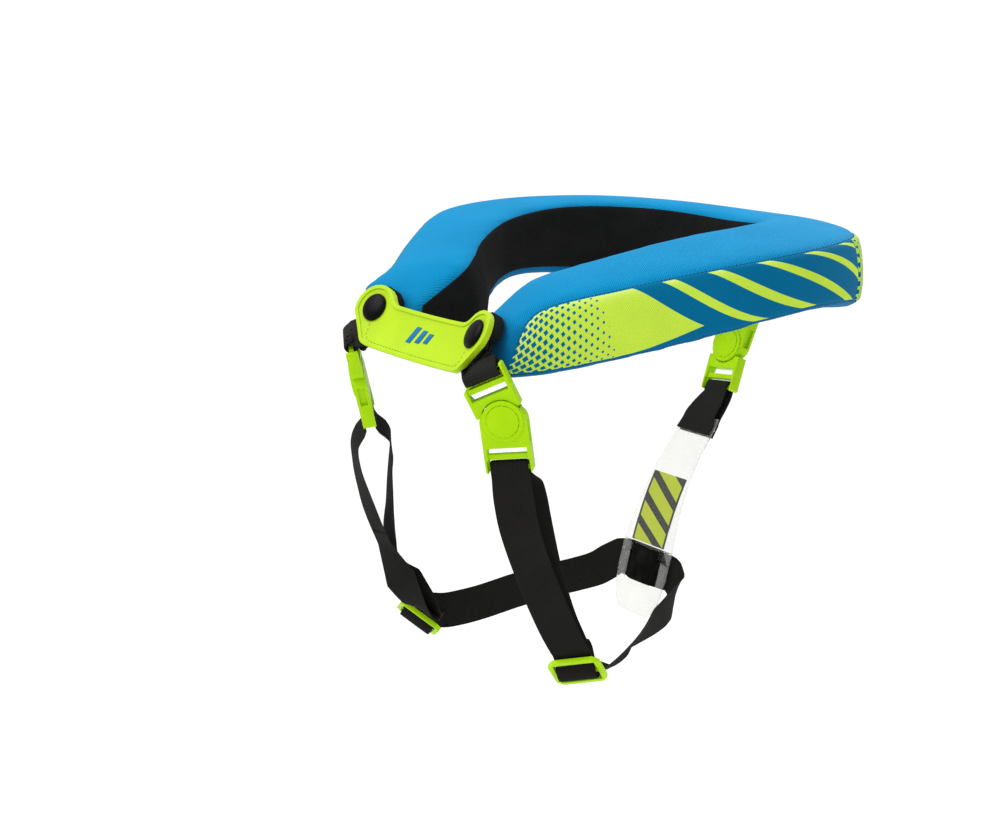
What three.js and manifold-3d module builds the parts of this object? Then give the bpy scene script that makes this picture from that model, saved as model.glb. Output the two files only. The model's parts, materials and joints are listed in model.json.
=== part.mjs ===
// Protective neck collar for motor sport: a padded ring that sits on the shoulders, a rubber plate
// snapped across its open front, and a harness of buckles and straps that hangs below it.
import * as THREE from 'three';
import { mergeVertices } from 'three/addons/utils/BufferGeometryUtils.js';
import Module from 'manifold-3d';

const wasm = await Module();
wasm.setup();

// Sizes in millimetres. X to the right of the collar, Y to its rear, Z up, the neck axis at the origin.
const GAP = 0.3;
const SKIN = 1.5;

// Padded ring, right half from the rear centre to the front end: the four seams of each section.
const SECTIONS = [
  {
    outerTop: [0, 128, 24], outerLow: [0, 130, -21],
    innerLow: [0, 74.5, -12], innerTop: [0, 82, 28],
  },
  {
    outerTop: [61, 111, 26], outerLow: [61, 113, -17],
    innerLow: [41, 56.7, -11], innerTop: [44, 64, 31.5],
  },
  {
    outerTop: [105, 69, 30], outerLow: [106, 71, -5],
    innerLow: [61, 15.8, -5], innerTop: [66, 21, 33.6],
  },
  {
    outerTop: [124, 16, 30], outerLow: [126, 18, 0],
    innerLow: [58, -25, -3], innerTop: [63, -21, 30.5],
  },
  {
    outerTop: [116.5, -35, 25.5], outerLow: [120, -35, -7],
    innerLow: [42, -51, -10], innerTop: [49, -50, 23],
  },
  {
    outerTop: [93.5, -72, 17], outerLow: [95.5, -72, -17.5],
    innerLow: [28, -64, -21], innerTop: [36, -65, 17],
  },
  {
    outerTop: [70.5, -96, 8.5], outerLow: [73, -97, -25],
    innerLow: [22, -75, -28], innerTop: [28, -77, 12],
  },
  {
    outerTop: [61, -109.2, 1], outerLow: [59.5, -117.3, -27],
    innerLow: [26, -115, -29], innerTop: [28, -105, -4.5],
  },
];
const FRONT = SECTIONS.length - 1;
const SEAMS = ['outerTop', 'outerLow', 'innerLow', 'innerTop'];
const OUTER_WALL = 0;
const INNER_WALL = 2;
const FULLNESS = [
  { first: 6, last: 7 },
  { first: 4, last: 3 },
  { first: 5, last: 5 },
  { first: 12, last: 5.5 },
];
const RING_STEPS = [0, 0.17, 0.38, 0.62, 0.83];
const RING_SPACING = 0.5;
const NOSE = [
  { forward: 0.9, scale: 0.96 },
  { forward: 1.6, scale: 0.88 },
];

// Printed panels on the outer wall and the lining on the inner wall, in section numbers and wall shares.
const PANEL = { top: 0.03, low: 0.93, rearEdge: 1.9, seamHalf: 0.005 };
const PANEL_FRONT = { from: 6.1, tip: 6.97, squareness: 2.7 };
const LINING = { end: 6.85, low: 0.15, top: 0.96 };
const RECESS_GROW = 0.015;

// Front plate: a rubber bar with two round lugs, leaning back and bowed so that its lugs stand forward.
const PLATE = { thick: 2.6, rim: 0.7, rimWidth: 2, top: 4.7, low: -20.2, cornerX: 43.5 };
const LUG = { x: 45, radius: 12.6 };
const PLATE_CENTRE = [0, -118.1, -9.3];
const PLATE_LEAN = THREE.MathUtils.degToRad(32);
const PLATE_BOW = 4.6;
const CAP = { radius: 7.5, height: 2.4, stem: 2.5, foot: 7.3 };
const HANGER_LEG = [
  { x: 1.9, y: -9.2, width: 20 },
  { x: 6, y: -13.3, width: 17.4 },
];
const SNAP_TAB = { radius: 13.2, front: -2.9, back: -7.4, webbingLine: 6.9 };

// Side release buckle, laid out from the centre of its round button towards the two strap ends.
const BUCKLE = { halfWidth: 11.4, end: 27, thick: 7, discR: 10.2, buttonR: 7.6 };
const STRAP_END = { slotHalf: 9.7, mouthHalf: 10.5, bar: 24 };
const SLOTS = [
  { near: 14.4, far: 17 },
  { near: 19.6, far: 22.8 },
];
const BAR_HALF = 1.2;
const WRAP = 2.85;
const LEAD = 5.2;

const WEBBING = { width: 20, fold: 16.6, thick: 1.5 };
const ELASTIC = { width: 20, fold: 18.7, thick: 1.3 };
const SLIDER = { halfWidth: 13.4, half: 10.4, thick: 2.6, slotFrom: 1.3, slotTo: 8.2, slotHalf: 10.8 };

// Where the hardware hangs on each side: the left harness hangs a little lower than the right.
const SIDES = [
  {
    name: 'left',
    sign: -1,
    button: [-64.2, -121.1, -46.7],
    buckleUp: [0.2, -0.33, 0.92],
    buckleFace: [-0.536, -0.825, -0.18],
    swivel: 0,
    slider: [-69.7, -83.1, -192.6],
    sliderFace: [0.06, -0.74, -0.66],
    sliderUp: [0.8, -0.348, 0.463],
  },
  {
    name: 'right',
    sign: 1,
    button: [65.1, -119.7, -44.6],
    buckleUp: [0, -0.15, 0.989],
    buckleFace: [0.68, -0.727, -0.11],
    swivel: THREE.MathUtils.degToRad(19),
    slider: [69.4, -78.2, -180.3],
    sliderFace: [0.59, -0.52, -0.617],
    sliderUp: [0.25, -0.578, 0.777],
  },
];
const REAR = {
  button: [0, 86.5, -45.8],
  tilt: THREE.MathUtils.degToRad(25),
  swivel: THREE.MathUtils.degToRad(6),
};

// Clear back tab, from its top inside the webbing loop to its lower end.
const TAB_THICK = 1.2;
const TAB_ROWS = [
  { y: 66.6, z: -83.5, width: 25 },
  { y: 62.2, z: -89.6, width: 27 },
  { y: 52.3, z: -101.5, width: 28 },
  { y: 43.5, z: -114.7, width: 30.5 },
  { y: 34.3, z: -133, width: 34.5 },
  { y: 26.8, z: -153, width: 40 },
  { y: 22.3, z: -168, width: 40 },
  { y: 18.6, z: -181, width: 36 },
  { y: 17, z: -187, width: 31 },
  { y: 16.1, z: -190.5, width: 22 },
];
const TAB_SLOT = { centre: 10.8, width: 5.4, length: 22, y: 23.6, z: -163.7 };

function finish(color, roughness, metalness = 0) {
  return new THREE.MeshStandardMaterial({ color, roughness, metalness });
}


const JERSEY_BLUE = finish(0x1f8fd0, 0.85);
const PRINT_LIME = finish(0xb9d94a, 0.8);
const PRINT_BLUE = finish(0x0b6ea8, 0.8);
const LINING_BLACK = finish(0x111212, 0.95);
const RUBBER_LIME = finish(0xc4ec2c, 0.55);
const SNAP_BLACK = finish(0x141414, 0.35, 0.2);
const WEBBING_BLACK = finish(0x252622, 0.9);
const ELASTIC_BLACK = finish(0x24231f, 0.9);
const BUCKLE_LIME = finish(0xabdc10, 0.4);
const TAB_CLEAR = finish(0xf2f1ea, 0.2);

const vec = (list) => new THREE.Vector3(...list);
const flip = (list, sign) => new THREE.Vector3(list[0] * sign, list[1], list[2]);

// Closed body through rings of equal length, each end closed by a strip across its ring.
function loft(rings) {
  const count = rings[0].length;
  const index = [];
  for (let i = 0; i + 1 < rings.length; i += 1) {
    for (let j = 0; j < count; j += 1) {
      const a = i * count + j;
      const b = i * count + ((j + 1) % count);
      index.push(a, b, b + count, a, b + count, a + count);
    }
  }
  for (const [base, turned] of [[0, true], [(rings.length - 1) * count, false]]) {
    for (let j = 0; j + 1 < count / 2; j += 1) {
      const [p, q, r, s] = [base + j, base + j + 1, base + count - 2 - j, base + count - 1 - j];
      const quad = turned ? [p, r, q, p, s, r] : [p, q, r, p, r, s];
      index.push(...quad);
    }
  }
  const points = rings.flat();
  let volume = 0;
  for (let k = 0; k < index.length; k += 3) {
    const [a, b, c] = [points[index[k]], points[index[k + 1]], points[index[k + 2]]];
    volume += a.dot(b.clone().cross(c));
  }
  const ordered = volume < 0 ? index.slice().reverse() : index;
  const geometry = new THREE.BufferGeometry();
  const values = points.flatMap((p) => p.toArray());
  geometry.setAttribute('position', new THREE.Float32BufferAttribute(values, 3));
  geometry.setIndex(ordered);
  return geometry;
}

// Closed solid of a geometry, with its doubled points joined and its empty triangles dropped.
function solid(geometry) {
  const bare = geometry.clone();
  bare.deleteAttribute('normal');
  bare.deleteAttribute('uv');
  const merged = mergeVertices(bare, 1e-4);
  const source = merged.index.array;
  const triangles = [];
  for (let k = 0; k < source.length; k += 3) {
    const [a, b, c] = [source[k], source[k + 1], source[k + 2]];
    if (a !== b && b !== c && c !== a) triangles.push(a, b, c);
  }
  const vertProperties = new Float32Array(merged.attributes.position.array);
  const triVerts = new Uint32Array(triangles);
  return new wasm.Manifold(new wasm.Mesh({ numProp: 3, vertProperties, triVerts }));
}

function geometryOf(body) {
  const mesh = body.getMesh();
  const geometry = new THREE.BufferGeometry();
  geometry.setAttribute('position', new THREE.Float32BufferAttribute(mesh.vertProperties, 3));
  geometry.setIndex(new THREE.Uint32BufferAttribute(mesh.triVerts, 1));
  return geometry;
}

// Flat outline raised along Z from one height to another.
function prism(outline, from, to) {
  const drawn = outline instanceof THREE.Shape;
  const shape = drawn ? outline : new THREE.Shape(outline.map(([x, y]) => new THREE.Vector2(x, y)));
  const options = { depth: to - from, bevelEnabled: false, curveSegments: 8 };
  return solid(new THREE.ExtrudeGeometry(shape, options).translate(0, 0, from));
}

const oblong = (x0, x1, y0, y1) => [[x0, y0], [x1, y0], [x1, y1], [x0, y1]];

function disc(radius, x = 0, y = 0) {
  const shape = new THREE.Shape();
  shape.absarc(x, y, radius, 0, Math.PI * 2);
  return shape;
}

// Frame whose X is the width, Y points up the piece and Z out of its face.
function frameAt(origin, face, up) {
  const z = face.clone().normalize();
  const x = up.clone().cross(z).normalize();
  const y = z.clone().cross(x);
  return new THREE.Matrix4().makeBasis(x, y, z).setPosition(origin);
}

// Strap of flat webbing through stations of place, width direction and width.
function ribbon(stations, thick, perSpan = 3) {
  const path = new THREE.CatmullRomCurve3(stations.map((row) => row.at), false, 'centripetal');
  const spans = stations.length - 1;
  const rings = [];
  for (let i = 0; i <= spans * perSpan; i += 1) {
    const t = i / (spans * perSpan);
    const k = Math.min(Math.floor(t * spans), spans - 1);
    const share = t * spans - k;
    const [a, b] = [stations[k], stations[k + 1]];
    const at = path.getPoint(t);
    const along = path.getTangent(t);
    const across = a.across.clone().lerp(b.across, share);
    across.addScaledVector(along, -across.dot(along)).normalize();
    const out = along.clone().cross(across);
    const half = THREE.MathUtils.lerp(a.width, b.width, share) / 2;
    const corner = (x, y) => at.clone()
      .addScaledVector(across, x * half)
      .addScaledVector(out, (y * thick) / 2);
    rings.push([corner(-1, -1), corner(1, -1), corner(1, 1), corner(-1, 1)]);
  }
  return loft(rings);
}

// Padded ring: seams run through the sections, the right half mirrored to the left.
function seamCurve(name) {
  const right = SECTIONS.map((row) => vec(row[name]));
  const left = right.slice(1).reverse().map((p) => new THREE.Vector3(-p.x, p.y, p.z));
  return new THREE.CatmullRomCurve3([...left, ...right], false, 'centripetal');
}

const seamCurves = SEAMS.map(seamCurve);

// Point of the pad at section number s, the four walls of the section counted by v from 0 to 4.
function padPoint(s, v) {
  const t = THREE.MathUtils.clamp((s + FRONT) / (2 * FRONT), 0, 1);
  const corners = seamCurves.map((curve) => curve.getPoint(t));
  const wall = Math.min(Math.floor(v), 3);
  const [before, a, b, after] = [3, 0, 1, 2].map((step) => corners[(wall + step) % 4]);
  const turn = (p, q, r) => q.clone().sub(p).normalize().add(r.clone().sub(q).normalize()).normalize();
  const first = a.clone().addScaledVector(turn(before, a, b), FULLNESS[wall].first);
  const second = b.clone().addScaledVector(turn(a, b, after), -FULLNESS[wall].last);
  return new THREE.CubicBezierCurve3(a, first, second, b).getPoint(v - wall);
}

function padNormal(s, v) {
  const step = 0.01;
  const along = padPoint(s + step, v).sub(padPoint(s - step, v));
  const wall = Math.floor(v);
  const down = padPoint(s, Math.min(v + step, wall + 0.999)).sub(padPoint(s, Math.max(v - step, wall)));
  return along.cross(down).normalize();
}

function padBody() {
  const ring = (s) => SEAMS.flatMap((name, wall) => RING_STEPS.map((t) => padPoint(s, wall + t)));
  const rings = [];
  for (const s of stopsBetween(-FRONT, FRONT)) rings.push(ring(s));
  const nose = (end, inward) => {
    const middle = end.reduce((sum, p) => sum.add(p), new THREE.Vector3()).divideScalar(end.length);
    const before = inward.reduce((sum, p) => sum.add(p), new THREE.Vector3()).divideScalar(inward.length);
    const face = plateAxis(Math.sign(middle.x));
    const ahead = face.dot(middle.clone().sub(before)) > 0 ? face : face.negate();
    return NOSE.map((row) => end.map((p) => {
      return middle.clone().lerp(p, row.scale).addScaledVector(ahead, row.forward);
    }));
  };
  const front = nose(rings[rings.length - 1], rings[rings.length - 3]);
  const other = nose(rings[0], rings[2]).reverse();
  return solid(loft([...other, ...rings, ...front]));
}

// Sheet that follows one wall of the pad between two heights above its surface.
function wallSheet(wall, stops, low, top, lifts, across = 5) {
  const rings = stops.map((s) => {
    const row = (lift) => {
      const points = [];
      for (let j = 0; j <= across; j += 1) {
        const v = wall + THREE.MathUtils.lerp(top(s), low(s), j / across);
        points.push(padPoint(s, v).addScaledVector(padNormal(s, v), lift));
      }
      return points;
    };
    return [...row(lifts[1]), ...row(lifts[0]).reverse()];
  });
  return loft(rings);
}

function evenly(from, to, count) {
  return Array.from({ length: count + 1 }, (_, i) => THREE.MathUtils.lerp(from, to, i / count));
}

// Section numbers from one to another, stopping at every ring of the pad on the way.
function stopsBetween(from, to) {
  const first = Math.floor(from / RING_SPACING + 1.05);
  const last = Math.ceil(to / RING_SPACING - 1.05);
  const inner = Array.from({ length: last - first + 1 }, (_, i) => (first + i) * RING_SPACING);
  return [from, ...inner, to];
}

// Upper edge of the side panel: along the seam, then round to the lower edge in a curve at the front.
function panelTop(s, grow) {
  const { from, tip, squareness } = PANEL_FRONT;
  const past = THREE.MathUtils.clamp((Math.abs(s) - from) / (tip - from + 2 * grow), 0, 1);
  const fullness = (1 - past ** squareness) ** (1 / squareness);
  return PANEL.low - (PANEL.low - PANEL.top) * fullness - grow;
}

function panelStops(from, grow) {
  const run = PANEL_FRONT.tip - PANEL_FRONT.from + 2 * grow;
  const curve = [18, 36, 50, 62, 73, 84].map((d) => {
    return PANEL_FRONT.from + run * Math.sin(THREE.MathUtils.degToRad(d));
  });
  return [...stopsBetween(from, PANEL_FRONT.from), ...curve];
}

function panelSheet(stops, grow, lifts) {
  return wallSheet(OUTER_WALL, stops, () => PANEL.low + grow, (s) => panelTop(s, grow), lifts);
}

function liningSheet(grow, lifts) {
  const stops = stopsBetween(-LINING.end, LINING.end);
  const past = LINING.end + 2.5 * grow;
  const ends = grow > 0 ? [-past, ...stops, past] : stops;
  return wallSheet(INNER_WALL, ends, () => LINING.top + grow, () => LINING.low - grow, lifts, 3);
}

// Front plate in its own frame: X along the plate, Y up its lean, Z out of its face.
const plateFrame = frameAt(
  vec(PLATE_CENTRE),
  new THREE.Vector3(0, -Math.cos(PLATE_LEAN), Math.sin(PLATE_LEAN)),
  new THREE.Vector3(0, Math.sin(PLATE_LEAN), Math.cos(PLATE_LEAN)),
);
const bow = (x) => PLATE_BOW * (x / LUG.x) ** 2;

function plateAxis(side) {
  const slope = (2 * PLATE_BOW * side) / LUG.x;
  return new THREE.Vector3(-slope, 0, 1).normalize().transformDirection(plateFrame);
}

// Frame of one lug: its origin on the face of the plate under the snap.
function lugFrame(side) {
  const origin = new THREE.Vector3(side * LUG.x, 0, bow(LUG.x)).applyMatrix4(plateFrame);
  const up = new THREE.Vector3(0, 1, 0).transformDirection(plateFrame);
  return frameAt(origin, plateAxis(side), up);
}

function plateOutline() {
  const { cornerX, low, top } = PLATE;
  const { x: lugX, radius: lugR } = LUG;
  const rad = THREE.MathUtils.degToRad;
  const shape = new THREE.Shape();
  shape.moveTo(-cornerX + 4, low);
  shape.lineTo(cornerX - 4, low);
  shape.quadraticCurveTo(cornerX, low, cornerX + 2.4, low + 2.8);
  shape.lineTo(lugX + lugR * Math.cos(rad(20)), -lugR * Math.sin(rad(20)));
  shape.absarc(lugX, 0, lugR, rad(-20), rad(145), false);
  shape.quadraticCurveTo(lugX - lugR, top, lugX - lugR - 4, top);
  shape.lineTo(-lugX + lugR + 4, top);
  shape.quadraticCurveTo(-lugX + lugR, top, -lugX + lugR * Math.cos(rad(35)), lugR * Math.sin(rad(35)));
  shape.absarc(-lugX, 0, lugR, rad(35), rad(200), false);
  shape.lineTo(-cornerX - 2.4, low + 2.8);
  shape.quadraticCurveTo(-cornerX, low, -cornerX + 4, low);
  return shape.getPoints(5).slice(0, -1).map((p) => [p.x, p.y]);
}

// Outline drawn in by a distance along the mean normal of each point.
function inset(outline, distance) {
  const count = outline.length;
  return outline.map(([x, y], i) => {
    const [px, py] = outline[(i + count - 1) % count];
    const [qx, qy] = outline[(i + 1) % count];
    const length = Math.hypot(qx - px, qy - py);
    return [x - ((qy - py) / length) * distance, y + ((qx - px) / length) * distance];
  });
}

function bowedSlab(from, to) {
  const rings = evenly(-64, 64, 8).map((x) => {
    const corner = (y, z) => new THREE.Vector3(x, y, z + bow(x));
    return [corner(-26, from), corner(20, from), corner(20, to), corner(-26, to)];
  });
  return solid(loft(rings));
}

function frontPlate() {
  const outline = plateOutline();
  const rimBand = prism(outline, -8, 20).subtract(prism(inset(outline, PLATE.rimWidth), -9, 21));
  const sheet = bowedSlab(-PLATE.thick, 0).intersect(prism(outline, -8, 20));
  const rim = bowedSlab(-PLATE.thick, PLATE.rim).intersect(rimBand);
  const body = geometryOf(sheet.add(rim)).applyMatrix4(plateFrame);
  let plate = solid(body);
  for (const side of SIDES) {
    const hole = geometryOf(prism(disc(CAP.stem + GAP), -12, 12)).applyMatrix4(lugFrame(side.sign));
    plate = plate.subtract(solid(hole));
  }
  return geometryOf(plate);
}

// Domed snap cap with its stem, turned about the lug axis.
function snapCap(side) {
  const seat = GAP + 0.1;
  const dome = [0, 22, 45, 68].map((d) => {
    const turn = THREE.MathUtils.degToRad(d);
    const height = seat + 0.8 + (CAP.height - 0.8) * Math.sin(turn);
    return new THREE.Vector2(CAP.radius * Math.cos(turn), height);
  });
  const profile = [
    new THREE.Vector2(0, -CAP.foot),
    new THREE.Vector2(CAP.stem, -CAP.foot),
    new THREE.Vector2(CAP.stem, seat),
    new THREE.Vector2(CAP.radius, seat),
    ...dome,
    new THREE.Vector2(0, seat + CAP.height),
  ];
  const turned = new THREE.LatheGeometry(profile, 18).rotateX(Math.PI / 2);
  return geometryOf(solid(turned)).applyMatrix4(lugFrame(side.sign));
}

// Thick fleece tab behind each lug, cut off on its lower outer side where the webbing lies.
function snapTab(side) {
  const { radius, front, back, webbingLine } = SNAP_TAB;
  const line = webbingLine * Math.SQRT2;
  const below = [[line, 0], [40, 40 - line], [40, -40], [line - 40, -40]];
  const room = below.map(([x, y]) => [side.sign * x, y]);
  const tab = prism(disc(radius, 0, 0.4), back, front)
    .subtract(prism(room, back - 1, front + 1))
    .subtract(prism(disc(CAP.stem + GAP), back - 1, front + 1));
  return geometryOf(tab).applyMatrix4(lugFrame(side.sign));
}

// Frame of a buckle half: origin at the button, Y towards its strap end.
function buckleFrames(origin, face, strapUp, swivel) {
  const socket = frameAt(origin, face, strapUp.clone().negate());
  const plugUp = strapUp.clone().applyAxisAngle(face.clone().normalize(), swivel);
  const plug = frameAt(origin, face, plugUp);
  return { socket, plug };
}

function strapEnd(body) {
  const { slotHalf, mouthHalf, bar } = STRAP_END;
  const half = BUCKLE.thick / 2;
  const past = BUCKLE.end + 5;
  const [inner, outer] = SLOTS;
  let cut = body;
  for (const slot of SLOTS) {
    cut = cut.subtract(prism(oblong(-slotHalf, slotHalf, slot.near, slot.far), -9, 9));
  }
  cut = cut.subtract(prism(oblong(-mouthHalf, mouthHalf, bar + BAR_HALF, past), -9, 9));
  for (const [from, to] of [[BAR_HALF, 9], [-9, -BAR_HALF]]) {
    cut = cut.subtract(prism(oblong(-mouthHalf, mouthHalf, outer.near, past), from, to));
  }
  return cut.subtract(prism(oblong(-slotHalf, slotHalf, inner.near, outer.far), half - 1.6, 9));
}

function buckleSocket() {
  const { halfWidth, end, discR, thick, buttonR } = BUCKLE;
  const half = thick / 2;
  const shape = new THREE.Shape();
  shape.moveTo(-halfWidth, -2);
  shape.lineTo(-halfWidth * 0.74, -4.9);
  shape.absarc(0, 0, discR, Math.PI * 1.154, Math.PI * 1.846, false);
  shape.lineTo(halfWidth, -2);
  shape.lineTo(halfWidth, end - 1.5);
  shape.lineTo(halfWidth - 1.5, end);
  shape.lineTo(-halfWidth + 1.5, end);
  shape.lineTo(-halfWidth, end - 1.5);
  const funnel = [[-11, -13], [11, -13], [6.6, 0], [-6.6, 0]];
  const room = prism(disc(buttonR + 0.9), -2, 2).add(prism(funnel, -2, 2));
  const body = prism(shape, -half, half)
    .add(prism(disc(discR), half - 0.5, half + 0.7))
    .subtract(room)
    .subtract(prism(disc(buttonR + 0.5), 1, 9));
  return geometryOf(strapEnd(body));
}

// Plug half: a frame whose hollow end follows the round socket, with a tongue that carries the button.
function bucklePlug() {
  const { halfWidth, end, discR, thick, buttonR } = BUCKLE;
  const half = thick / 2 - 0.3;
  const reach = discR + 0.5;
  const rad = THREE.MathUtils.degToRad;
  const shape = new THREE.Shape();
  shape.moveTo(reach * Math.cos(rad(48)), reach * Math.sin(rad(48)));
  shape.lineTo(halfWidth, 9.3);
  shape.lineTo(halfWidth, end - 1.5);
  shape.lineTo(halfWidth - 1.5, end);
  shape.lineTo(-halfWidth + 1.5, end);
  shape.lineTo(-halfWidth, end - 1.5);
  shape.lineTo(-halfWidth, 9.3);
  shape.lineTo(-reach * Math.cos(rad(48)), reach * Math.sin(rad(48)));
  shape.absarc(0, 0, reach, rad(132), rad(48), true);
  const tongue = prism(disc(buttonR + 0.4), -1.6, 1.6).add(prism(oblong(-5.4, 5.4, 0, 12.5), -1.6, 1.6));
  const button = prism(disc(buttonR), 1, thick / 2 + 1);
  return geometryOf(strapEnd(prism(shape, -half, half)).add(tongue).add(button));
}

function sliderFrame() {
  const { halfWidth, half, thick, slotFrom, slotTo, slotHalf } = SLIDER;
  const corner = 3;
  const quarter = [[halfWidth - corner, half], [halfWidth, half - corner]];
  const flipped = (x, y) => quarter.map(([u, w]) => [u * x, w * y]);
  const outline = [
    ...flipped(-1, -1).reverse(),
    ...flipped(1, -1),
    ...flipped(1, 1).reverse(),
    ...flipped(-1, 1),
  ];
  return geometryOf(
    prism(outline, -thick / 2, thick / 2)
      .subtract(prism(oblong(-slotHalf, slotHalf, slotFrom, slotTo), -9, 9))
      .subtract(prism(oblong(-slotHalf, slotHalf, -slotTo, -slotFrom), -9, 9))
      .subtract(prism(oblong(-slotHalf, slotHalf, -slotFrom - 1, slotFrom + 1), 1, 9))
      .subtract(prism(oblong(-slotHalf, slotHalf, -slotFrom - 1, slotFrom + 1), -9, -1)),
  );
}

// Strap stations in a frame, from rows of height along the strap and distance out of the face.
function stationsIn(frame, rows, width) {
  const across = new THREE.Vector3().setFromMatrixColumn(frame, 0);
  return rows.map((row) => ({
    at: new THREE.Vector3(row.shift ?? 0, row.up, row.out).applyMatrix4(frame),
    across: across.clone(),
    width: row.width ?? width,
  }));
}

// Fold round the bar at a buckle's strap end, from the face side to the back, its two legs led
// out of the slot at a lean towards the back.
function barFold(frame, width, lean = 0) {
  const along = { up: Math.cos(lean), out: -Math.sin(lean) };
  const rows = [0, 45, 90, 135, 180].map((d) => {
    const turn = THREE.MathUtils.degToRad(d) - lean;
    return { up: STRAP_END.bar - WRAP * Math.sin(turn), out: WRAP * Math.cos(turn) };
  });
  const led = (row, by) => ({ up: row.up + by * along.up, out: row.out + by * along.out });
  const [first, last] = [rows[0], rows[rows.length - 1]];
  const leads = [led(first, LEAD), led(first, LEAD / 2), ...rows, led(last, LEAD / 2), led(last, LEAD)];
  return stationsIn(frame, leads, width);
}

const frontBuckles = SIDES.map((side) => {
  return buckleFrames(vec(side.button), vec(side.buckleFace), vec(side.buckleUp), side.swivel);
});
const rearUp = new THREE.Vector3(0, Math.sin(REAR.tilt), Math.cos(REAR.tilt));
const rearFace = new THREE.Vector3(0, -Math.cos(REAR.tilt), Math.sin(REAR.tilt));
const rearBuckle = buckleFrames(vec(REAR.button), rearFace, rearUp.clone().negate(), REAR.swivel);

// Webbing loop from under a lug round the upper bar of a front buckle and back.
function frontHanger(side, frames) {
  const lug = lugFrame(side.sign);
  const across = new THREE.Vector3(side.sign * 0.84, 0.54, 0).normalize().transformDirection(lug);
  const under = ({ x, y }, z) => new THREE.Vector3(side.sign * x, y, z).applyMatrix4(lug);
  const leg = (z) => HANGER_LEG.map((row) => {
    return { at: under(row, z), across: across.clone(), width: row.width };
  });
  const pull = under(HANGER_LEG[1], -4.8).applyMatrix4(frames.plug.clone().invert());
  const fold = barFold(frames.plug, WEBBING.fold, Math.atan2(-pull.z, pull.y - STRAP_END.bar));
  for (const row of fold) row.across.multiplyScalar(Math.sign(row.across.dot(across)));
  return ribbon([...leg(-3.75), ...fold, ...leg(-5.85).reverse()], WEBBING.thick, 3);
}

// Rear loop: two feet flat under the pad, with a fold round the upper bar of the rear buckle.
function rearHanger() {
  const under = (y) => {
    let best = 1;
    for (let v = 1; v <= 2; v += 0.01) {
      if (Math.abs(padPoint(0, v).y - y) < Math.abs(padPoint(0, best).y - y)) best = v;
    }
    return padPoint(0, best).addScaledVector(padNormal(0, best), GAP + 0.4 + WEBBING.thick / 2);
  };
  const across = new THREE.Vector3(1, 0, 0);
  const row = (at) => ({ at, across: across.clone(), width: WEBBING.fold });
  const fold = barFold(rearBuckle.socket, WEBBING.fold).slice(2, -2);
  for (const station of fold) station.across.copy(across);
  const bar = new THREE.Vector3(0, STRAP_END.bar, 0).applyMatrix4(rearBuckle.socket);
  const near = [under(bar.y - 17), under(bar.y - 11), under(bar.y - 6.5)];
  const far = [under(bar.y + 6.5), under(bar.y + 11), under(bar.y + 17)];
  return ribbon([...near.map(row), ...fold, ...far.map(row)], WEBBING.thick);
}

const tabMiddle = TAB_ROWS.map((row) => new THREE.Vector3(0, row.y, row.z));
const tabPath = new THREE.CatmullRomCurve3(tabMiddle, false, 'centripetal');

function tabNormal(t) {
  return tabPath.getTangent(t).cross(new THREE.Vector3(1, 0, 0)).normalize();
}

// Webbing loop that joins the lower bar of the rear buckle to the clear tab.
function tabLoop() {
  const across = new THREE.Vector3(1, 0, 0);
  const last = TAB_ROWS.length - 1;
  const offset = TAB_THICK / 2 + GAP + 0.1 + WEBBING.thick / 2;
  const leg = (side) => [1.25, 0.7, 0.1].map((k, i) => {
    const out = tabNormal(k / last).multiplyScalar(side * (offset + [0, 0, 0.6][i]));
    return { at: tabPath.getPoint(k / last).add(out), across: across.clone(), width: [27, 26, 24][i] };
  });
  const fold = barFold(rearBuckle.plug, WEBBING.fold);
  for (const row of fold) row.across.multiplyScalar(Math.sign(row.across.dot(across)));
  const facing = Math.sign(tabNormal(0.1).dot(rearFace));
  return ribbon([...leg(facing), ...fold, ...leg(-facing).reverse()], WEBBING.thick);
}

function backTab() {
  const last = TAB_ROWS.length - 1;
  const rings = evenly(0, last, last * 2).map((k) => {
    const row = Math.min(Math.floor(k), last - 1);
    const half = THREE.MathUtils.lerp(TAB_ROWS[row].width, TAB_ROWS[row + 1].width, k - row) / 2;
    const at = tabPath.getPoint(k / last);
    const out = tabNormal(k / last).multiplyScalar(TAB_THICK / 2);
    const edge = (x, y) => new THREE.Vector3(x * half, 0, 0).add(at).addScaledVector(out, y);
    return [edge(-1, -1), edge(1, -1), edge(1, 1), edge(-1, 1)];
  });
  let tab = solid(loft(rings));
  for (const x of [-TAB_SLOT.centre, TAB_SLOT.centre]) {
    const [half, reach] = [TAB_SLOT.width / 2, TAB_SLOT.length / 2];
    const slot = oblong(x - half, x + half, -reach, reach);
    tab = tab.subtract(solid(geometryOf(prism(slot, -9, 9)).applyMatrix4(tabSlotFrame)));
  }
  return geometryOf(tab);
}

// Frame of the strap crossing in the tab: X across, Y up the tab, Z to the front.
const tabSlotFrame = frameAt(
  new THREE.Vector3(0, TAB_SLOT.y, TAB_SLOT.z),
  new THREE.Vector3(0, -0.957, 0.29),
  new THREE.Vector3(0, 0.29, 0.957),
);

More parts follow.
